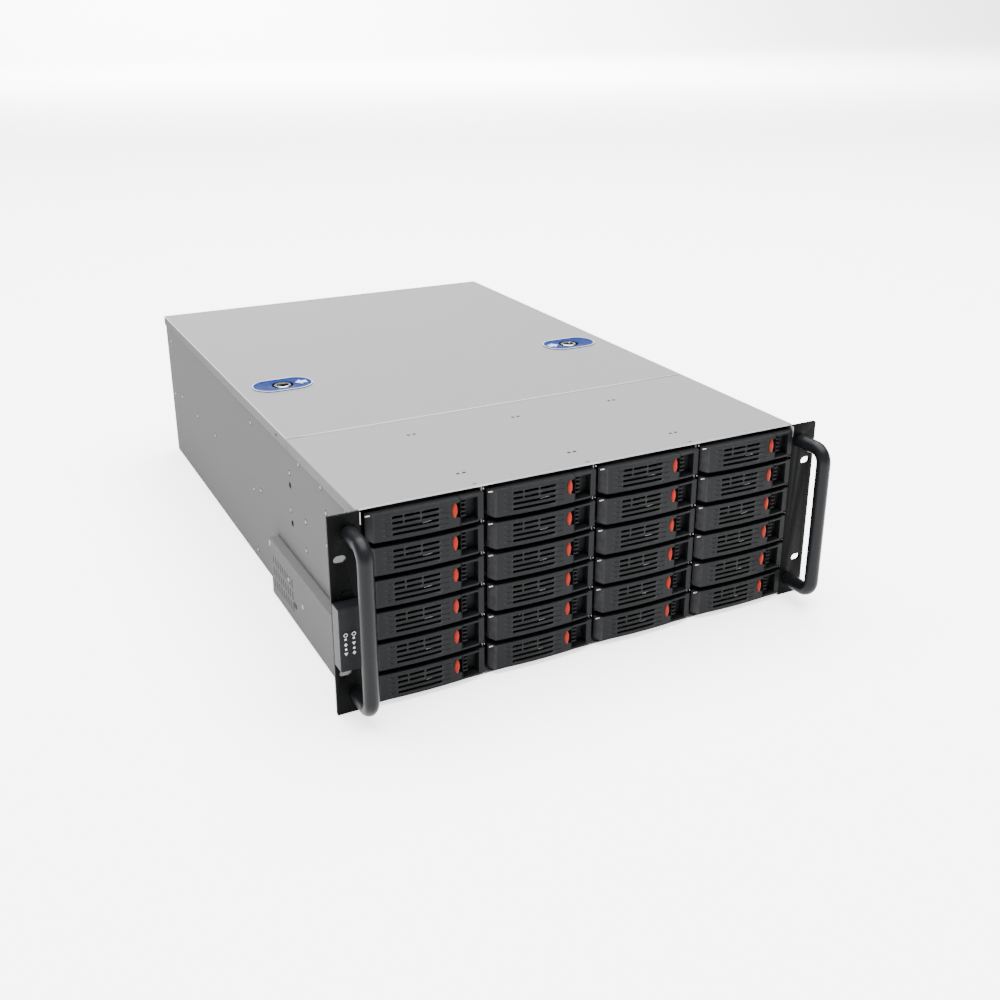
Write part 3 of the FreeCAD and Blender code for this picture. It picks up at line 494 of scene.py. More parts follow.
def plate_mesh(name, loops, thickness, edge, turn):
    """A flat plate with holes: closed loops in plan, the first one outside, filled and given
    thickness about its middle with a small rounded edge, then placed by a matrix in millimetres."""
    curve = bpy.data.curves.new(name + "_outline", "CURVE")
    curve.dimensions = "2D"
    curve.fill_mode = "BOTH"
    curve.extrude = (thickness / 2.0 - edge) * MM
    curve.bevel_depth = edge * MM
    curve.bevel_resolution = 1
    curve.offset = -edge * MM
    for loop in loops:
        line = curve.splines.new("POLY")
        line.points.add(len(loop) - 1)
        rows = np.column_stack([loop * MM, np.zeros(len(loop)), np.ones(len(loop))])
        line.points.foreach_set("co", rows.astype(np.float32).ravel())
        line.use_cyclic_u = True
    flat = linked(name + "_outline", curve)
    graph = bpy.context.evaluated_depsgraph_get()
    mesh = bpy.data.meshes.new_from_object(flat.evaluated_get(graph))
    bpy.data.objects.remove(flat)
    bpy.data.curves.remove(curve)
    scaled = turn.copy()
    scaled.translation = turn.translation * MM
    mesh.transform(scaled)
    mesh.name = name
    cleaned(mesh)
    return mesh


def upright(y):
    """Places a plate's plan X and Y on X and Z, its middle at depth y."""
    return Matrix.Translation((0, y, 0)) @ Matrix.Rotation(math.radians(90.0), 4, "X")


def pan(us, vs, walls=(True, True, True, True)):
    """Stations of a pan: a face over us and vs, and one more station beyond each walled side.

    Gives U, V and T on the grid, T being 0 on the face and 1 at a wall's far edge, and the
    squares to keep, which leaves out those where two walls would overlap."""
    left, right, low, high = walls
    us = np.asarray(us, float)
    vs = np.asarray(vs, float)
    u = np.concatenate([us[:1]] * left + [us] + [us[-1:]] * right)
    v = np.concatenate([vs[:1]] * low + [vs] + [vs[-1:]] * high)
    tu = np.zeros(len(u))
    tv = np.zeros(len(v))
    for t, first, last in ((tu, left, right), (tv, low, high)):
        t[0] = 1.0 if first else 0.0
        t[-1] = 1.0 if last else 0.0
    wall_u = np.maximum(tu[:-1], tu[1:]) > 0
    wall_v = np.maximum(tv[:-1], tv[1:]) > 0
    keep = ~(wall_u[:, None] & wall_v[None, :])
    U, V = np.meshgrid(u, v, indexing="ij")
    return U, V, np.maximum(tu[:, None], tv[None, :]), keep


def inside(values, low, high):
    """For each gap between neighbouring values, whether it lies between low and high."""
    middle = (values[:-1] + values[1:]) / 2.0
    return (middle > low) & (middle < high)


def leave_out(keep, first, second):
    """Drops from a grid the squares that lie in both a run of rows and a run of columns."""
    keep &= ~(first[:, None] & second[None, :])


def surface(name, grid, keep=None, front=None):
    """A mesh over a grid of points, of all its squares or of those to keep."""
    faces = quads(grid.shape[0], grid.shape[1])
    faces = faces.reshape(-1, 4) if keep is None else faces[keep]
    return mesh_of(name, grid, faces, front)


def tube(path, radius, segments=28):
    """A round bar along a path in an upright plane across X, with flat ends."""
    path = np.asarray(path, float)
    along = np.gradient(path, axis=0)
    along /= np.linalg.norm(along, axis=1)[:, None]
    side = np.array([1.0, 0.0, 0.0])
    up = np.cross(along, side)
    angle = np.arange(segments) * 2.0 * math.pi / segments
    ring = (np.cos(angle)[None, :, None] * side + np.sin(angle)[None, :, None] * up[:, None, :])
    points = path[:, None, :] + radius * ring
    faces = quads(len(path), segments, True).reshape(-1, 4).tolist()
    last = (len(path) - 1) * segments
    faces += [list(range(segments)), list(range(last, last + segments))]
    return points.reshape(-1, 3), faces


# Hot-swap trays. A tray's places count from the left end of its front, the face of the ears and
# the middle of its height.
BOW_RADIUS = 480.0
BOW_REACH = 5.0
tray_low, tray_high = corners("tray_r1c1")
FRONT_WIDTH = tray_high[0] - tray_low[0]
FRONT_HALF = (tray_high[2] - tray_low[2]) / 2.0
LEVER_LEFT = 4.3
LEVER_CORNER = 8.6
LEVER_BACK = 5.0
LEVER_RIGHT = 83.0
LEVER_WALL = 2.0
SPLIT = 0.6
FACE_HALF = FRONT_HALF - 0.6
BEZEL_BACK = 11.0
BEZEL_WALL = 3.0
VENT_LEFT = 24.0
VENT_RIGHT = 64.0
VENT_HEIGHT = 2.4
VENT_ROWS = (7.2, 2.4, -2.4, -7.2)
VENT_BARS = (33.6, 48.4)
BAR_WIDTH = 1.3
RIB_RISE = 0.6
RIB_HALF = 0.5
RIB_TAPER = 0.6
RIB_SPANS = ((18.2, 23.4), (64.8, 72.6))
BUTTON_MIDDLE = (78.4, 2.3)
BUTTON_HALF = (2.75, 6.4)
BUTTON_POCKET = 0.35
BUTTON_PROUD = 1.0
NOTCH_START = 73.2
POST_LEFT = 100.4
POST_Y = -0.7
SCOOP_DEPTH = 7.0
SCOOP_LIP = 1.7
FIN_LEVELS = (7.6, 3.8, 0.0, -3.8)
FIN_HALF = 0.55
FIN_END = 88.6
WIRE_SPAN = (50.5, 61.5)
WIRE_RADIUS = 0.24
STEP = 0.15
PIVOT = (9.5, 3.5)
PIN_RADIUS = 1.2
LUG_RADIUS = 2.3
LUG_HEIGHT = 1.2
CARRIER_RAIL = 20.0
CARRIER_INSET = 0.3
CARRIER_MARGIN = 12.0
CARRIER_WINDOWS = ((30.0, 62.0), (70.0, 102.0), (110.0, 142.0))


def bow(x):
    """Depth of the bowed front at x: an arc of the bow radius over the tray's width."""
    return BOW_RADIUS - BOW_REACH - np.sqrt(BOW_RADIUS ** 2 - (x - FRONT_WIDTH / 2.0) ** 2)


def lever_stations():
    """Upright and level lines of the lever's grid, at every vent, bar and rib edge."""
    bars = [b + s * BAR_WIDTH / 2.0 for b in VENT_BARS for s in (-1, 1)]
    ribs = [e for low, high in RIB_SPANS for e in (low, low + RIB_TAPER, high - RIB_TAPER, high)]
    across = [LEVER_CORNER, 11.5, 15.0, 21.0, VENT_LEFT, 28.5, 38.0, 43.0, 54.0, 59.0, VENT_RIGHT, 68.5,
              74.0, 75.5, 77.0, 78.5, 80.0, 81.5, LEVER_RIGHT] + bars + ribs
    edges = [r + e for r in VENT_ROWS for h in (0.0, RIB_HALF, VENT_HEIGHT / 2.0) for e in (-h, h)]
    up = [-FACE_HALF, -10.4, -4.6, 0.0, 4.8, 9.3, 10.6, FACE_HALF] + edges
    return np.unique(np.round(across, 4)), np.unique(np.round(up, 4))


def rib_height(x, z):
    """Low ribs beside the vents: a roof over each row's line, tapered at both ends."""
    roof = np.zeros_like(z)
    for row in VENT_ROWS:
        roof = np.maximum(roof, 1.0 - np.abs(z - row) / RIB_HALF)
    span = np.zeros_like(x)
    for low, high in RIB_SPANS:
        span = np.maximum(span, np.clip(np.minimum(x - low, high - x) / RIB_TAPER, 0.0, 1.0))
    return RIB_RISE * np.clip(roof, 0.0, 1.0) * span


def button_notch(z):
    """How far the lever's right end steps back round the button: half an ellipse."""
    reach = LEVER_RIGHT - BUTTON_MIDDLE[0] + BUTTON_HALF[0] + BUTTON_POCKET
    tall = BUTTON_HALF[1] + BUTTON_POCKET
    return reach * np.sqrt(np.clip(1.0 - ((z - BUTTON_MIDDLE[1]) / tall) ** 2, 0.0, 1.0))


def lever_mesh():
    """A bowed pan: the face follows the bow, the left wall slants back, vents are left out and
    the right end is pulled back by the button's notch."""
    across, up = lever_stations()
    U, V, T, keep = pan(across, up)
    left = LEVER_CORNER + (LEVER_LEFT - LEVER_CORNER) * T
    share = (U - LEVER_CORNER) / (LEVER_RIGHT - LEVER_CORNER)
    X = left + share * (LEVER_RIGHT - left)
    pull = np.clip((U - NOTCH_START) / (LEVER_RIGHT - NOTCH_START), 0.0, 1.0)
    X = X - button_notch(V) * pull
    face = bow(X) - rib_height(U, V)
    Y = face + (LEVER_BACK - face) * T
    u = np.concatenate([across[:1], across, across[-1:]])
    v = np.concatenate([up[:1], up, up[-1:]])
    for number, row in enumerate(VENT_ROWS):
        level = inside(v, row - VENT_HEIGHT / 2.0, row + VENT_HEIGHT / 2.0)
        open_u = inside(u, VENT_LEFT, VENT_RIGHT)
        if number < len(VENT_ROWS) // 2:
            for bar in VENT_BARS:
                open_u &= ~inside(u, bar - BAR_WIDTH / 2.0, bar + BAR_WIDTH / 2.0)
        leave_out(keep, open_u, level)
    grid = np.stack([X, Y, V], -1)
    return surface("lever", grid, keep, TO_FRONT)


def scoop_front(X, Z):
    """The grip's face: bowed lips, a ramp down to the scoop's floor with fins across its start,
    and the end post."""
    face = bow(X)
    start = LEVER_RIGHT + SPLIT
    ramp = np.interp(X, [start + 0.6, start + 1.6, start + 9.0], [-3.6, 4.0, SCOOP_DEPTH])
    tall = np.clip((FACE_HALF - SCOOP_LIP - np.abs(Z)) / STEP, 0.0, 1.0)
    fins = np.zeros_like(Z)
    for level in FIN_LEVELS:
        fins = np.maximum(fins, np.clip((FIN_HALF + STEP - np.abs(Z - level)) / STEP, 0.0, 1.0))
    fins = fins * np.clip((FIN_END + 1.2 - X) / 1.2, 0.0, 1.0)
    dished = ramp + (face + 0.5 - ramp) * fins
    depth = face + (dished - face) * tall
    depth = np.where(X < LEVER_RIGHT + SPLIT + 0.5, face, depth)
    post = np.clip((X - POST_LEFT + STEP) / STEP, 0.0, 1.0)
    return depth + (POST_Y - depth) * post


def grip_mesh():
    """The fixed right end of the front as a closed block: its face, four sides and a back."""
    start = LEVER_RIGHT + SPLIT
    across = np.array([start, start + 0.5, start + 0.65, start + 1.6, FIN_END, FIN_END + 1.2, 91.3,
                       93.0, 96.0, 99.0, POST_LEFT - STEP, POST_LEFT, POST_LEFT + 1.0, 104.6,
                       FRONT_WIDTH])
    fin_lines = [f + s * (FIN_HALF + e) for f in FIN_LEVELS for s in (-1, 1) for e in (0.0, STEP)]
    lip = FACE_HALF - SCOOP_LIP
    up = np.unique(np.round([-FACE_HALF, -lip, -lip + STEP, lip - STEP, lip, FACE_HALF] + fin_lines, 4))
    U, V, T, keep = pan(across, up)
    face = scoop_front(U, V)
    front = np.stack([U, face + (BEZEL_BACK + BEZEL_WALL - face) * T, V], -1)
    BU, BV = np.meshgrid(across, up, indexing="ij")
    back = np.stack([BU, np.full_like(BU, BEZEL_BACK + BEZEL_WALL), BV], -1)
    shape = joined([(front, quads(*front.shape[:2])[keep]),
                    (back, quads(*back.shape[:2]).reshape(-1, 4))])
    return mesh_of("grip", *shape)


def bezel_back_mesh():
    """The wall behind the lever with its window, the two lugs and the hinge pin."""
    across = np.array([0.0, 16.0, 80.0, LEVER_RIGHT + SPLIT])
    up = np.array([-FRONT_HALF, -8.0, 8.0, FRONT_HALF])
    frame_parts = []
    for i in range(3):
        for j in range(3):
            if (i, j) != (1, 1):
                frame_parts.append(block((across[i], BEZEL_BACK, up[j]),
                                         (across[i + 1], BEZEL_BACK + BEZEL_WALL, up[j + 1])))
    x, y = PIVOT
    angle = np.linspace(math.pi, 2.0 * math.pi, 13)
    lug = np.column_stack([x + LUG_RADIUS * np.cos(angle), y + LUG_RADIUS * np.sin(angle)])
    lug = np.concatenate([lug, [(x + LUG_RADIUS, BEZEL_BACK), (x, BEZEL_BACK), PIVOT,
                                (x - LUG_RADIUS, y + 0.01)]])
    top = FRONT_HALF - 1.4 - 0.25
    for low in (top - LUG_HEIGHT, -top):
        frame_parts.append(prism(lug, low, low + LUG_HEIGHT))
    frame_parts.append(prism(circle(x, y, PIN_RADIUS, 16), -top, top))
    return mesh_of("bezel_back", *joined(frame_parts))


def carrier_mesh():
    """Folded sheet: down the left rail, across the floor and up the right rail, run from the front
    wall to the back, with windows left out of the floor."""
    x0 = CARRIER_INSET
    x1 = FRONT_WIDTH - CARRIER_INSET
    z0 = -FRONT_HALF
    z1 = z0 + CARRIER_RAIL
    line = rounded([(x0, z1), (x0, z0), (x1, z0), (x1, z1)], 1.0, 3)
    floor_x = np.linspace(CARRIER_MARGIN, x1 - CARRIER_MARGIN, 6)
    across = np.concatenate([[line[0]], [line[0] * 0.5 + line[1] * 0.5], line[1:5],
                             np.column_stack([floor_x, np.full(6, z0)]),
                             line[5:-1], [line[-1] * 0.5 + line[-2] * 0.5], [line[-1]]])
    along = np.array([14.0, 22.0, 30.0, 62.0, 70.0, 102.0, 110.0, 142.0, 150.0, 168.0, 174.0])
    X = np.broadcast_to(across[:, 0][:, None], (len(across), len(along)))
    Z = np.broadcast_to(across[:, 1][:, None], X.shape)
    Y = np.broadcast_to(along[None, :], X.shape)
    keep = np.ones((len(across) - 1, len(along) - 1), bool)
    floor = inside(across[:, 0], floor_x[0], floor_x[-1])
    floor &= (across[:-1, 1] == z0) & (across[1:, 1] == z0)
    for start, end in CARRIER_WINDOWS:
        leave_out(keep, floor, inside(along, start, end))
    return surface("carrier", np.stack([X, Y, Z], -1), keep, (0.0, 0.0, -1.0))


def leaf_mesh():
    """The bare spring leaf that stands out from the lever's slanted end, near its top."""
    top = FRONT_HALF - 2.3
    return mesh_of("leaf", *block((3.2, -0.4, top), (7.3, 0.5, top + 0.75)))


def wire_mesh():
    """The thin return spring seen through the third vent: a round wire along a shallow arc."""
    x = np.linspace(WIRE_SPAN[0], WIRE_SPAN[1], 9)
    share = (x - WIRE_SPAN[0]) / (WIRE_SPAN[1] - WIRE_SPAN[0])
    path = np.column_stack([x, bow(x) + LEVER_WALL + 0.5, VENT_ROWS[2] - 0.6 + 1.3 * share ** 2])
    angle = np.arange(8) * 2.0 * math.pi / 8
    ring = np.column_stack([np.zeros(8), WIRE_RADIUS * np.cos(angle), WIRE_RADIUS * np.sin(angle)])
    points = (path[:, None, :] + ring).reshape(-1, 3)
    faces = quads(len(path), 8, True).reshape(-1, 4).tolist()
    return mesh_of("wire", points, faces + [list(range(8)), list(range(len(points) - 8, len(points)))])


def button_mesh():
    """A pointed oval by angle and share of its radius: the face is a crest left of the middle with
    a long slope to the right, and a skirt runs back from its rim."""
    angle = np.arange(32) * 2.0 * math.pi / 32
    wide = BUTTON_HALF[0] * np.sign(np.cos(angle)) * np.abs(np.cos(angle)) ** 1.3
    tall = BUTTON_HALF[1] * np.sin(angle)
    share = np.array([0.0, 0.35, 0.7, 0.9, 1.0, 1.0, 1.0])
    lift = np.array([0.0, 0.0, 0.15, 0.5, 1.1, 3.0, 7.0])
    X = BUTTON_MIDDLE[0] + share[:, None] * wide
    Z = BUTTON_MIDDLE[1] + share[:, None] * tall
    off = X - BUTTON_MIDDLE[0]
    slope = 0.42 * np.clip(off + 0.8, 0.0, None) + 0.15 * np.clip(-off - 0.8, 0.0, None)
    face = float(bow(BUTTON_MIDDLE[0])) - BUTTON_PROUD
    Y = face - 0.4 + slope + lift[:, None]
    Y[-1] = face + 7.0
    points = np.stack([X, Y, Z], -1).reshape(-1, 3)
    faces = quads(len(share), 32, True).reshape(-1, 4).tolist()
    last = (len(share) - 1) * 32
    return mesh_of("button", points, faces + [list(range(last, last + 32))])


def placed(mesh, name, place):
    """A copy of a template mesh under a name of its own, moved to a place in millimetres."""
    copy = mesh.copy()
    copy.name = name
    copy.transform(Matrix.Translation(Vector([float(p) for p in place]) * MM))
    return copy


def make_trays():
    """Every tray from the same templates; in the top row lever and button ride on their own bodies."""
    templates = {
        "lever": lever_mesh(), "grip": grip_mesh(), "bezel": bezel_back_mesh(),
        "carrier": carrier_mesh(), "leaf": leaf_mesh(), "button": button_mesh(),
        "wire": wire_mesh(),
    }
    for node in sorted(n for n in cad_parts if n.startswith("tray_")):
        label = node[len("tray_"):]
        low, high = corners(node)
        place = (low[0], EAR_Y, (low[2] + high[2]) / 2.0)
        made = {kind: placed(mesh, "%s_front_%s" % (kind, label), place)
                for kind, mesh in templates.items()}
        piece(made["carrier"], node, ZINC_SHEET, (node,), wall=0.8)
        piece(made["bezel"], node, TRAY_SHADOW, sharp=30.0)
        piece(made["grip"], node, TRAY_PLASTIC, bevel=0.28, sharp=50.0)
        lever = button = node
        lever_nodes = button_nodes = ()
        if "lever_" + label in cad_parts:
            lever = "lever_" + label
            button = "button_" + label
            lever_nodes = (lever,)
            button_nodes = (button,)
        piece(made["leaf"], lever, RAW_EDGE_AND_HIGHLIGHT, bevel=0.15)
        piece(made["wire"], lever, RAW_EDGE_AND_HIGHLIGHT, sharp=60.0)
        piece(made["lever"], lever, TRAY_PLASTIC, lever_nodes, wall=LEVER_WALL, bevel=0.3,
              sharp=50.0)
        piece(made["button"], button, BUTTON_ORANGE, button_nodes, sharp=60.0)


# Covers, side and top details
SKIRT = cover_high[2] - cover_low[2]
SEAM_FRONT = cover_high[1]
COVER_SETBACK = 3.5
LATCH_HOLE = 13.0
SEAM_BACK = lid_low[1]


def make_front_cover():
    """A pan with a skirt each side; its front strip between the ears has no skirt."""
    across = np.array([-COVER_X, ear_high[0] + 0.4, -140.0, -70.0, 0.0, 70.0, 140.0, -ear_high[0] - 0.4,
                       COVER_X])
    along = np.array([cover_low[1] + COVER_SETBACK, EAR_BACK + SIDE_WALL + COVER_GAP, -280.0, -220.0,
                      -180.0, SEAM_FRONT])
    U, V, T, keep = pan(across, along, (True, True, False, False))
    u = U[:, 0]
    wide = np.abs((u[:-1] + u[1:]) / 2.0) > -ear_high[0]
    leave_out(keep, wide, inside(along, along[0], along[1]))
    grid = np.stack([U, V, PANEL_TOP - SKIRT * T], -1)
    made = surface("front_cover_sheet", grid, keep, UP)
    piece(made, "chassis", COVER_COAT, ("front_cover",), wall=COVER_WALL, bevel=0.7,
          segments=3)
    # A light strip along the cover's front edge: a painted highlight.
    edge = block((ear_high[0] + 0.4, along[0] - 0.25, PANEL_TOP - COVER_WALL),
                 (-ear_high[0] - 0.4, along[0] + 0.35, PANEL_TOP + 0.1))
    made = mesh_of("front_cover_highlight", *edge)
    piece(made, "chassis", RAW_EDGE_AND_HIGHLIGHT, bevel=0.12)


def make_rear_lid():
    """A pan with skirts at both sides, a flange down over the rear panel and a hole under each
    latch."""
    middles = [np.add(*corners("latch_button_" + label)) / 2.0 for label in ("left", "right")]
    hole_x = [m[0] + s * LATCH_HOLE for m in middles for s in (-1, 1)]
    hole_y = [middles[0][1] + s * LATCH_HOLE for s in (-1, 1)]
    across = np.unique(np.concatenate([np.linspace(-COVER_X, COVER_X, 7), hole_x]))
    along = np.unique(np.concatenate([np.linspace(SEAM_BACK, lid_high[1], 8), hole_y]))
    U, V, T, keep = pan(across, along, (True, True, False, True))
    for middle in middles:
        column = inside(U[:, 0], middle[0] - LATCH_HOLE, middle[0] + LATCH_HOLE)
        leave_out(keep, column, inside(V[0], *hole_y))
    grid = np.stack([U, V, PANEL_TOP - SKIRT * T], -1)
    made = surface("rear_lid_sheet", grid, keep, UP)
    piece(made, "lid", COVER_COAT, ("rear_lid",), wall=COVER_WALL, bevel=0.7, segments=3)
    # A light bead along the seam and light strips along the lid's top edges: painted highlights.
    half = np.array([(0.0, 0.02), (0.25, 0.25), (0.8, 0.32), (1.35, 0.25), (1.6, 0.02)])
    X, rise = np.meshgrid(np.linspace(-COVER_X + 0.6, COVER_X - 0.6, 9), half[:, 1], indexing="ij")
    Y = SEAM_BACK + np.broadcast_to(half[:, 0], X.shape)
    made = surface("seam_highlight_bead", np.stack([X, Y, PANEL_TOP + rise], -1), None, UP)
    piece(made, "lid", RAW_EDGE_AND_HIGHLIGHT, wall=0.3)
    edges = []
    for side in (-1, 1):
        x = side * (COVER_X - 0.45)
        edges.append(block((x - 0.3, SEAM_BACK + 1.0, PANEL_TOP - 0.3),
                           (x + 0.3, lid_high[1] - 1.0, PANEL_TOP + 0.08)))
    made = mesh_of("lid_edge_highlights", *joined(edges))
    piece(made, "lid", RAW_EDGE_AND_HIGHLIGHT, bevel=0.08)


RIVET_SPOTS = (
    (652.0, 151.6), (662.7, 80.1), (673.0, 7.1), (620.7, 87.9), (543.2, 86.3), (461.2, 88.8),
    (303.1, 154.1), (309.5, 80.3), (312.1, 10.8), (283.2, 88.4), (266.1, 35.9), (179.4, 144.7),
    (182.7, 106.7), (150.5, 163.0), (91.6, 163.0), (32.6, 163.0), (139.1, 112.0), (80.5, 143.7),
    (142.4, 82.3), (82.9, 112.4),
)
RIVET_RADIUS = 1.9
RIVET_RISE = 0.7
# Width of the flat dark ring of painted shade round each rivet head.
RIVET_SHADE_WIDTH = 1.2
CHANNEL_COVERS = (235.0, 61.0)


def dome(radius, rise, sink=0.3):
    """A low domed head: a quarter wave of height over the radius."""
    share = np.linspace(1.0, 0.0, 6)
    profile = np.column_stack([radius * share, rise * np.sqrt(np.clip(1.0 - share ** 2, 0.0, 1.0))])
    return lathe(np.concatenate([[(0.0, -sink), (radius, -sink)], profile]), 18)


def make_rivets():
    """Domed heads over both sides, each ringed by thin painted shade; the channel covers some at the left.
    """
    rim = RIVET_RADIUS + RIVET_SHADE_WIDTH
    head = dome(RIVET_RADIUS, RIVET_RISE)
    # A flat dark ring round each head: painted shade.
    shade_ring = lathe([(RIVET_RADIUS - 0.1, -0.2), (RIVET_RADIUS - 0.1, 0.07), (rim, 0.05), (rim, -0.2)], 18)
    for side, label in SIDES:
        outward = (side, 0, 0)
        spots = [(side * SIDE_X, EAR_Y + y, z) for y, z in RIVET_SPOTS]
        if side < 0:
            spots = [s for s in spots if not (s[1] < EAR_Y + CHANNEL_COVERS[0] and s[2] < CHANNEL_COVERS[1])]
        heads = repeated(turned(head, outward), spots)
        piece(mesh_of("side_rivets_" + label, *heads), "chassis", RIVET_STEEL)
        shade_rings = repeated(turned(shade_ring, outward), spots)
        piece(mesh_of("rivet_shade_rings_" + label, *shade_rings, outward), "chassis", HOLE_SHADE_AND_RUBBER)


COVER_SCREW_ROWS = (35.0, 140.0)
COVER_SCREW_SHIFT = 4.0
DASH_STEP = 2.8
SLIT_RUN = (8.0, 9.6)


def make_cover_screws():
    """Low heads on the dividers' lines between two dashes of painted shade, and slits of painted shade
    ahead.
    """
    cage_low, cage_high = corners("drive_cage")
    pitch = (cage_high[0] - cage_low[0] + 1.0) / 4.0
    head = lathe([(0.0, 0.02), (1.5, 0.02), (1.9, -0.2)], 20)
    # Dashes of painted shade beside each head, and slits drawn as painted shade.
    dash = block((-1.5, -1.5, -0.2), (1.5, 1.5, 0.06))
    spots = []
    dashes = []
    slit_shades = []
    for i in (1, 2, 3):
        x = cage_low[0] - 0.5 + i * pitch - COVER_SCREW_SHIFT
        for y in COVER_SCREW_ROWS:
            spots.append((x, EAR_Y + y, PANEL_TOP))
            dashes += [(x + step, EAR_Y + y, PANEL_TOP) for step in (-DASH_STEP, DASH_STEP)]
        slit_shades.append(block((x - 1.8, EAR_Y + SLIT_RUN[0], PANEL_TOP - 0.2),
                           (x + 1.8, EAR_Y + SLIT_RUN[1], PANEL_TOP + 0.03)))
    made = mesh_of("cover_screw_heads", *repeated(head, spots), UP)
    piece(made, "chassis", COVER_COAT, sharp=30.0)
    made = mesh_of("cover_screw_shade_dashes", *joined([(dash[0] + np.array(d), dash[1]) for d in dashes]))
    piece(made, "chassis", HOLE_SHADE_AND_RUBBER)
    made = mesh_of("cover_slit_shades", *joined(slit_shades))
    piece(made, "chassis", HOLE_SHADE_AND_RUBBER)


RAIL_HOLE_Y = 181.0
RAIL_HOLE_LEVELS = (93.65, 131.75)
SKIRT_SLOT_PLACE = (211.5, 171.0)


def make_side_marks():
    """Painted shade in and round the round rail holes and on the small slot under the seam, both sides."""
    # A dark ring and lining at each rail hole, and a dark oval for the skirt slot: painted shade.
    hole = lathe([(2.45, -1.3), (2.45, 0.03), (3.4, 0.05), (3.5, -0.1)], 20)
    slot = quartered(prism(oval(7.0, 2.0, 6), -0.2, 0.06))
    for side, label in SIDES:
        outward = (side, 0, 0)
        spots = [(side * SIDE_X, EAR_Y + RAIL_HOLE_Y, z) for z in RAIL_HOLE_LEVELS]
        holes = repeated(turned(hole, outward), spots)
        piece(mesh_of("rail_hole_shades_" + label, *holes, outward), "chassis", HOLE_SHADE_AND_RUBBER)
        place = (side * COVER_X, EAR_Y + SKIRT_SLOT_PLACE[0], SKIRT_SLOT_PLACE[1])
        piece(mesh_of("skirt_slot_shade_" + label, *turned(slot, outward, place)), "lid", HOLE_SHADE_AND_RUBBER)


# Latches on the lid
LATCH_SIZE = (63.0, 40.0)
LATCH_RECESS = 11.2
LATCH_RIM = 1.5
LATCH_LINE = 0.7
LATCH_CAP = (5.9, 4.4, 2.4)
# Radius of the black ring of painted shade inside the latch's recess.
LATCH_SHADE_RADIUS = 9.2
LATCH_NECK = 0.82
MARK_OFFSET = (20.5, 1.0)
MARK_OUTLINE = ((-6.8, 0.0), (-0.4, 7.4), (-0.4, 3.6), (5.6, 3.6), (5.6, -3.6), (-0.4, -3.6),
                (-0.4, -7.4))


def latch_rings():
    """Matching points round the latch's oval outline and round a circle of radius one."""
    length, width = LATCH_SIZE
    angle = (np.arange(72) + 0.5) * 2.0 * math.pi / 72
    unit = np.column_stack([np.cos(angle), np.sin(angle)])
    return unit * width / 2.0 + np.sign(unit) * ((length - width) / 2.0, 0.0), unit


def latch_shell(top):
    """The dished surround: rings between the outline and the round recess, each at its own level."""
    outer, unit = latch_rings()
    inner = LATCH_RECESS * unit
    share = np.array([0.0, 0.0, 0.03, 0.10, 0.16, 0.5, 0.93, 1.0, 1.0, 1.0])
    level = np.array([PANEL_TOP, top - 0.45, top - 0.15, top - 0.15, top - 0.55, top - 0.75, top - 0.6,
                      top - 1.0, top - 3.5, top - 5.0])
    ring = (1.0 - share)[:, None, None] * outer + share[:, None, None] * inner
    ring[-1] *= LATCH_NECK
    height = np.broadcast_to(level[:, None, None], ring.shape[:2] + (1,))
    return np.concatenate([ring, height], -1), quads(len(share), len(outer), True).reshape(-1, 4)


def latch_line(top):
    """The grid of a line that runs round just inside the outline, half round in section."""
    outer, unit = latch_rings()
    turn = np.linspace(0.0, math.pi, 7)
    middle = outer - unit * (LATCH_RIM / 2.0)
    flat = middle[:, None, :] + unit[:, None, :] * (LATCH_LINE * np.cos(turn))[None, :, None]
    height = np.broadcast_to((top - 0.35 + 0.3 * np.sin(turn))[None, :, None], flat.shape[:2] + (1,))
    grid = np.concatenate([flat, height], -1)
    return np.concatenate([grid, grid[:1]])


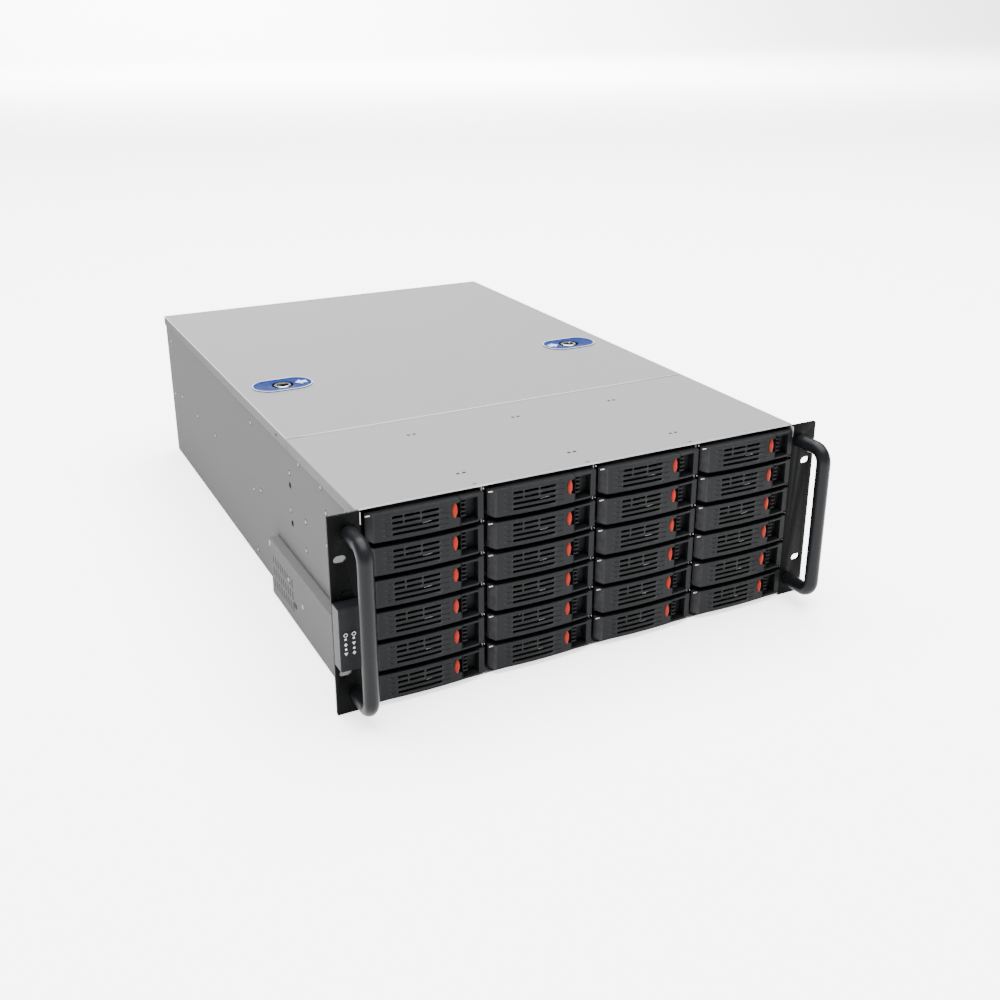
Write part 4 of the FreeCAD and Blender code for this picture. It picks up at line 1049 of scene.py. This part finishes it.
def make_latches():
    """Each latch is a dished surround with a pale line round its rim, a pale mark inboard and a black ring
    of painted shade in its recess, and a push button that is a bright ring round a dark cap."""
    top = corners("latch_bezels")[1][2]
    shell, shell_faces = latch_shell(top)
    line = latch_line(top)
    # A black ring inside the recess: painted shade.
    shade_ring = lathe([(LATCH_RECESS - 0.1, top - 3.2), (LATCH_RECESS - 0.1, top - 1.2),
                    (LATCH_SHADE_RADIUS, top - 1.6), (LATCH_SHADE_RADIUS, top - 3.2)], 40)
    for side, label in SIDES:
        node = "latch_button_" + label
        low, high = corners(node)
        middle = (low + high) / 2.0
        radius = (high[0] - low[0]) / 2.0
        crown = high[2]
        shift = np.array([middle[0], middle[1], 0.0])
        mesh = mesh_of("latch_surround_" + label, shell + shift, shell_faces, UP)
        piece(mesh, "lid", LATCH_BLUE, ("latch_bezels",), wall=0.6, sharp=35.0)
        mesh = surface("latch_rim_" + label, line + shift, None, UP)
        piece(mesh, "lid", LATCH_PALE, wall=0.15, sharp=60.0)
        place = (middle[0] - side * MARK_OFFSET[0], middle[1] + MARK_OFFSET[1])
        flat = np.array(MARK_OUTLINE) * (-side, 1.0) + place
        mesh = mesh_of("latch_mark_" + label, *prism(flat, top - 1.0, top - 0.55))
        piece(mesh, "lid", LATCH_PALE, bevel=0.06)
        mesh = mesh_of("latch_recess_shade_" + label, *turned(shade_ring, UP, shift), UP)
        piece(mesh, "lid", LATCH_BLACK_AND_SHADE, wall=0.1)
        ring = lathe([(radius, crown - 4.5), (radius, crown - 0.5), (radius - 0.5, crown),
                      (radius - 1.7, crown - 0.1), (radius - 2.6, crown - 1.5),
                      (radius - 2.6, crown - 4.5)], 40)
        mesh = mesh_of("latch_ring_" + label, *turned(ring, UP, shift), UP)
        piece(mesh, node, LATCH_CHROME, wall=0.15, sharp=30.0)
        half_x, half_y, corner = LATCH_CAP
        cap = rectangle(-half_x, half_x, -half_y, half_y, corner) + shift[:2]
        mesh = mesh_of("latch_cap_" + label, *prism(cap, crown - 4.0, crown - 0.9))
        piece(mesh, node, LATCH_BLACK_AND_SHADE, (node,), bevel=0.5, segments=3)
        seat = lathe([(0.0, crown - 4.4), (radius - 2.7, crown - 4.4), (radius - 2.7, crown - 1.9),
                      (0.0, crown - 1.9)], 32)
        mesh = mesh_of("latch_seat_" + label, *turned(seat, UP, shift))
        piece(mesh, node, LATCH_BLACK_AND_SHADE, sharp=30.0)


# Ears, handles and the control box
RACK_SPACING = (465.1, 101.6)
RACK_SLOT = (10.3, 6.8)
HANDLE_X = 224.0
HANDLE_SPACING = 144.0
HANDLE_RADIUS = 6.5
HANDLE_REACH = 40.0
HANDLE_BEND = 12.0


def make_ears():
    """Plates with rounded rack slots and screw holes; the outer corners are slightly rounded."""
    for side, label in SIDES:
        low, high = corners(label + "_ear")
        loops = [rectangle(low[0], high[0], low[2], high[2], 1.2)]
        for up in (-1, 1):
            slot = oval(*RACK_SLOT)
            loops.append(slot + (side * RACK_SPACING[0] / 2.0, PANEL_MIDDLE + up * RACK_SPACING[1] / 2.0))
            loops.append(circle(side * HANDLE_X, PANEL_MIDDLE + up * HANDLE_SPACING / 2.0, 2.7))
        middle = (low[1] + high[1]) / 2.0
        mesh = plate_mesh(label + "_ear_plate", loops, high[1] - low[1], 0.35, upright(middle))
        piece(mesh, "chassis", EAR_BLACK, (label + "_ear",), sharp=35.0)


def make_handles():
    """A bar along a path in an upright plane: leg, bend, grip, bend and leg."""
    for side, label in SIDES:
        bar_y = EAR_Y - HANDLE_REACH + HANDLE_RADIUS
        low = PANEL_MIDDLE - HANDLE_SPACING / 2.0
        high = PANEL_MIDDLE + HANDLE_SPACING / 2.0
        flat = rounded([(EAR_Y, low), (bar_y, low), (bar_y, high), (EAR_Y, high)], HANDLE_BEND, 12)
        path = np.column_stack([np.full(len(flat), side * HANDLE_X), flat])
        mesh = mesh_of(label + "_handle_bar", *tube(path, HANDLE_RADIUS, 36))
        piece(mesh, "chassis", HANDLE_BLACK, (label + "_handle",), sharp=50.0)


MARK_LEVELS = (72.6, 64.2)
MARK_SHAPES = {
    "diamond": np.array([(0.0, -1.7), (1.5, 0.0), (0.0, 1.7), (-1.5, 0.0)]),
    "wedge": np.array([(-1.6, -1.3), (1.6, -1.3), (0.0, 1.5)]),
}
BUTTON_MARKS = (("power_button", ("diamond", "wedge")), ("reset_button", ("wedge", "diamond")))
LUG_PLACE = (-229.0, 109.5)


def make_control_box():
    """A pan standing on the left ear, its buttons, rings and marks, and the small lug above it."""
    low, high = corners("control_housing")
    face = low[1]
    U, V, T, keep = pan(np.linspace(low[0], high[0], 5), np.linspace(low[2], high[2], 7))
    grid = np.stack([U, face + (high[1] - face) * T, V], -1)
    piece(surface("control_shell", grid, keep, TO_FRONT), "chassis", CONTROL_BLACK,
          ("control_housing",), wall=1.6, bevel=1.3, segments=4)
    ring = lathe([(1.15, 0.60), (1.2, 0.78), (1.75, 0.80), (1.8, 0.62)], 24)
    marks = []
    for name, shapes in BUTTON_MARKS:
        b_low, b_high = corners(name)
        middle = (b_low + b_high) / 2.0
        place = (middle[0], face, middle[2])
        radius = (b_high[0] - b_low[0]) / 2.0
        cap = lathe([(0.0, -5.0), (radius, -5.0), (radius, 0.5), (radius - 0.3, 0.8), (0.0, 0.55)], 24)
        mesh = mesh_of(name + "_cap", *turned(cap, TO_FRONT, place))
        piece(mesh, name, CONTROL_BLACK, (name,), sharp=35.0)
        mesh = mesh_of(name + "_ring", *turned(ring, TO_FRONT, place), TO_FRONT)
        piece(mesh, name, MARK_WHITE, wall=0.05)
        for shape, level in zip(shapes, MARK_LEVELS):
            points, faces = turned(prism(MARK_SHAPES[shape], 0.0, 0.12), TO_FRONT)
            marks.append((points * (1.0, 1.0, -1.0) + (middle[0], face + 0.02, level), faces))
    piece(mesh_of("control_marks", *joined(marks)), "chassis", MARK_WHITE)
    lug = turned(prism(oval(7.0, 4.6, 8), 0.0, 2.2), TO_FRONT, (LUG_PLACE[0], EAR_Y, LUG_PLACE[1]))
    piece(mesh_of("ear_lug", *lug), "chassis", EAR_BLACK, bevel=0.9, segments=3)


# Cable channel low on the left side
SLOT_COUNT = 9
SLOT_PITCH = 7.2
SLOT_WIDTH = 3.0
SLOT_HEIGHT = 9.0
SLOT_ROWS = 3
SLOT_ROW_PITCH = 12.5
SLOT_END = 8.0
SLOT_BASE = 10.0
CABLE_MOUTH = 12.0
CABLE_LEVELS = (10.5, 22.5)
CHANNEL_BREAKS = (140.0, 90.0, 45.0)
CHANNEL_RIVETS = ((232.0, 55.0), (176.0, 40.0), (136.0, 30.0), (28.0, 30.0))
GROMMET_PLACE = (160.0, 20.0)


def make_channel():
    """A pan standing on the side, open at the ear; vents are left out of its face."""
    low, high = corners("cable_channel")
    slots = [high[1] - SLOT_END - i * SLOT_PITCH for i in range(SLOT_COUNT)]
    vents = [low[2] + SLOT_BASE + r * SLOT_ROW_PITCH for r in range(SLOT_ROWS)]
    mouth = low[1] + CABLE_MOUTH
    along = [low[1], mouth, high[1]] + [b + EAR_Y for b in CHANNEL_BREAKS]
    along += [e for end in slots for e in (end, end - SLOT_WIDTH)]
    up = [low[2], high[2], *CABLE_LEVELS] + [e for base in vents for e in (base, base + SLOT_HEIGHT)]
    U, V, T, keep = pan(np.unique(np.round(along, 4)), np.unique(np.round(up, 4)),
                        (False, True, True, True))
    u = U[:, 0]
    v = V[0]
    for end in slots:
        for base in vents:
            leave_out(keep, inside(u, end - SLOT_WIDTH, end), inside(v, base, base + SLOT_HEIGHT))
    leave_out(keep, inside(u, low[1], mouth), inside(v, *CABLE_LEVELS))
    grid = np.stack([low[0] + (high[0] - low[0]) * T, U, V], -1)
    piece(surface("channel_sheet", grid, keep, TO_LEFT), "chassis", SHADED_BODY_COAT,
          ("cable_channel",), wall=1.0, bevel=0.25)
    # A dark block behind the vents: painted shade inside the channel.
    vent_shade = block((low[0] + 0.3, slots[-1] - 5.0, vents[0] - 2.0),
                  (low[0] + 0.9, slots[0] + 2.0, high[2] - 4.0))
    piece(mesh_of("channel_vent_shade", *vent_shade), "chassis", HOLE_SHADE_AND_RUBBER, bevel=0.1)
    spots = [(low[0], EAR_Y + y, z) for y, z in CHANNEL_RIVETS]
    heads = repeated(turned(dome(2.2, 0.8), TO_LEFT), spots)
    piece(mesh_of("channel_rivets", *heads), "chassis", RIVET_STEEL)
    place = (low[0], EAR_Y + GROMMET_PLACE[0], GROMMET_PLACE[1])
    grommet = turned(quartered(prism(oval(11.0, 5.0, 8), -0.4, 0.35)), TO_LEFT, place)
    piece(mesh_of("channel_grommet", *grommet), "chassis", HOLE_SHADE_AND_RUBBER, bevel=0.25)


SIDE_EDGE_LOW = 165.5


def make_cage_lugs():
    """Bare ends of the cage in the gaps beside the trays, drawn lighter as a painted highlight."""
    parts = []
    top_low, top_high = corners("tray_r1c1")
    pitch = top_low[2] - corners("tray_r2c1")[0][2]
    column = corners("tray_r1c2")[0][0] - top_low[0]
    for i in range(5):
        x = top_low[0] - 0.8 + i * column
        x = min(max(x, -SIDE_X + SIDE_WALL / 2.0), SIDE_X - SIDE_WALL / 2.0)
        for j in range(7):
            z = top_high[2] + 1.8 - j * pitch
            parts.append(block((x - 0.3, EAR_Y + 0.6, z - 0.5), (x + 0.3, EAR_Y + 1.6, z + 0.5)))
    made = mesh_of("cage_lugs", *joined(parts))
    piece(made, "chassis", RAW_EDGE_AND_HIGHLIGHT, bevel=0.15)
    # Light strips on the sides' front edges: painted highlights.
    edges = []
    for side in (-1, 1):
        x = side * (SIDE_X - 0.75)
        edges.append(block((x - 0.4, EAR_Y - 0.05, SIDE_EDGE_LOW), (x + 0.4, EAR_Y + 3.0, PANEL_TOP - 1.2)))
    made = mesh_of("side_edge_highlights", *joined(edges))
    piece(made, "chassis", RAW_EDGE_AND_HIGHLIGHT, bevel=0.1)


# Nodes of the frame that keep their own shape and get their finish here
NODE_FINISHES = {
    "base_tray": (SHADED_BODY_COAT, "body_steel"), "rear_panel": (ZINC_SHEET, "bare_steel"),
    "slot_covers": (ZINC_SHEET, "bare_steel"), "handle_screws": (RIVET_STEEL, "screw_steel"),
    "drive_cage": (ZINC_SHEET, "bare_steel"), "backplanes": (BOARD_GREEN, "board_green"),
    "fan_wall": (ZINC_SHEET, "bare_steel"), "fan_frames": (FAN_BLACK, "fan_black"),
    "standoffs": (BRASS, "standoff_brass"), "control_board": (BOARD_GREEN, "board_green"),
    "indicator_lenses": (LENS_MILKY, "lens_clear"), "supply_shelf": (ZINC_SHEET, "bare_steel"),
}


def paint_nodes():
    """The finish of every node that scene.py leaves as it is."""
    finishes = dict(NODE_FINISHES)
    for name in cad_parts:
        if name.startswith("fan_rotor"):
            finishes[name] = (FAN_BLACK, "fan_black")
    for name, (material, slot) in finishes.items():
        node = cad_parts[name]
        node.data.materials.clear()
        node.data.materials.append(material)


# Floor, light and camera
FLOOR_GLOW = 1.8
FLOOR_HALF_WIDTH = 45000.0
FLOOR_RUN = 12000.0
FLOOR_CURVE = 3000.0
FLOOR_DROP = 0.3
SKY_STRENGTH = 0.6


def make_floor():
    """A pale sheet that runs flat and then curves up far behind, a quarter circle in section."""
    turn = np.linspace(0.0, math.pi / 2.0, 12)
    y = np.concatenate([[-FLOOR_RUN, FLOOR_RUN], FLOOR_RUN + FLOOR_CURVE * np.sin(turn[1:])])
    z = np.concatenate([[0.0, 0.0], FLOOR_CURVE - FLOOR_CURVE * np.cos(turn[1:])])
    X, Y = np.meshgrid(np.array([-FLOOR_HALF_WIDTH, FLOOR_HALF_WIDTH]), y, indexing="ij")
    Z = np.broadcast_to(z, X.shape)
    floor = linked("floor", surface("floor", np.stack([X, Y, Z - FLOOR_DROP], -1), None, UP))
    floor.data.shade_smooth()
    material = finish("floor_paper", (0.93, 0.93, 0.93), 0.75, specular=0.2, grain=300.0, cloud=1.0,
                      relief=0.0, spread=0.005)
    shader = material.node_tree.nodes["Principled BSDF"]
    shader.inputs["Emission Color"].default_value = (1.0, 1.0, 1.0, 1.0)
    shader.inputs["Emission Strength"].default_value = FLOOR_GLOW
    floor.data.materials.append(material)


def soft_light(name, place, target, size, power):
    """A rectangular white lamp at a place, turned towards a target."""
    lamp = bpy.data.lights.new(name, "AREA")
    lamp.shape = "RECTANGLE"
    lamp.size = size[0]
    lamp.size_y = size[1]
    lamp.energy = power
    made = linked(name, lamp)
    made.location = place
    aim = Vector(target) - Vector(place)
    made.rotation_euler = aim.to_track_quat("-Z", "Y").to_euler()


def make_studio():
    """An even white surrounding, a large light above, one on the backdrop and two weak ones ahead."""
    world = bpy.data.worlds.new("studio")
    bpy.context.scene.world = world
    world.use_nodes = True
    sky = world.node_tree.nodes["Background"]
    sky.inputs["Color"].default_value = (1.0, 1.0, 1.0, 1.0)
    sky.inputs["Strength"].default_value = SKY_STRENGTH
    soft_light("overhead", (0.4, 0.6, 5.0), (0.2, 0.6, 0.0), (7.0, 7.0), 2100.0)
    soft_light("backdrop", (3.0, 8.0, 6.0), (5.0, 14.0, 1.0), (8.0, 6.0), 6000.0)
    soft_light("front_left", (-1.0, -2.6, 1.2), (0.0, -0.2, 0.1), (1.0, 0.8), 8.0)
    soft_light("front_right", (1.4, -2.6, 1.0), (0.1, -0.3, 0.1), (1.0, 0.8), 8.0)


def make_camera():
    """The photograph's camera, with its shift and without depth of field."""
    lens = bpy.data.cameras.new("camera")
    lens.sensor_width = SENSOR
    lens.lens = FOCAL_PIXELS / IMAGE_PIXELS * SENSOR
    lens.shift_y = SHIFT_UP
    lens.clip_start = 0.01
    lens.clip_end = 60.0
    camera = linked("camera", lens)
    camera.location = Vector(CAMERA_PLACE) * MM
    camera.rotation_euler = (math.radians(90.0 - CAMERA_DROP), 0.0, -math.radians(CAMERA_TURN))
    bpy.context.scene.camera = camera


make_trays()
make_front_cover()
make_rear_lid()
make_rivets()
make_cover_screws()
make_side_marks()
make_latches()
make_ears()
make_handles()
make_control_box()
make_channel()
make_cage_lugs()
paint_nodes()
make_floor()
make_studio()
make_camera()
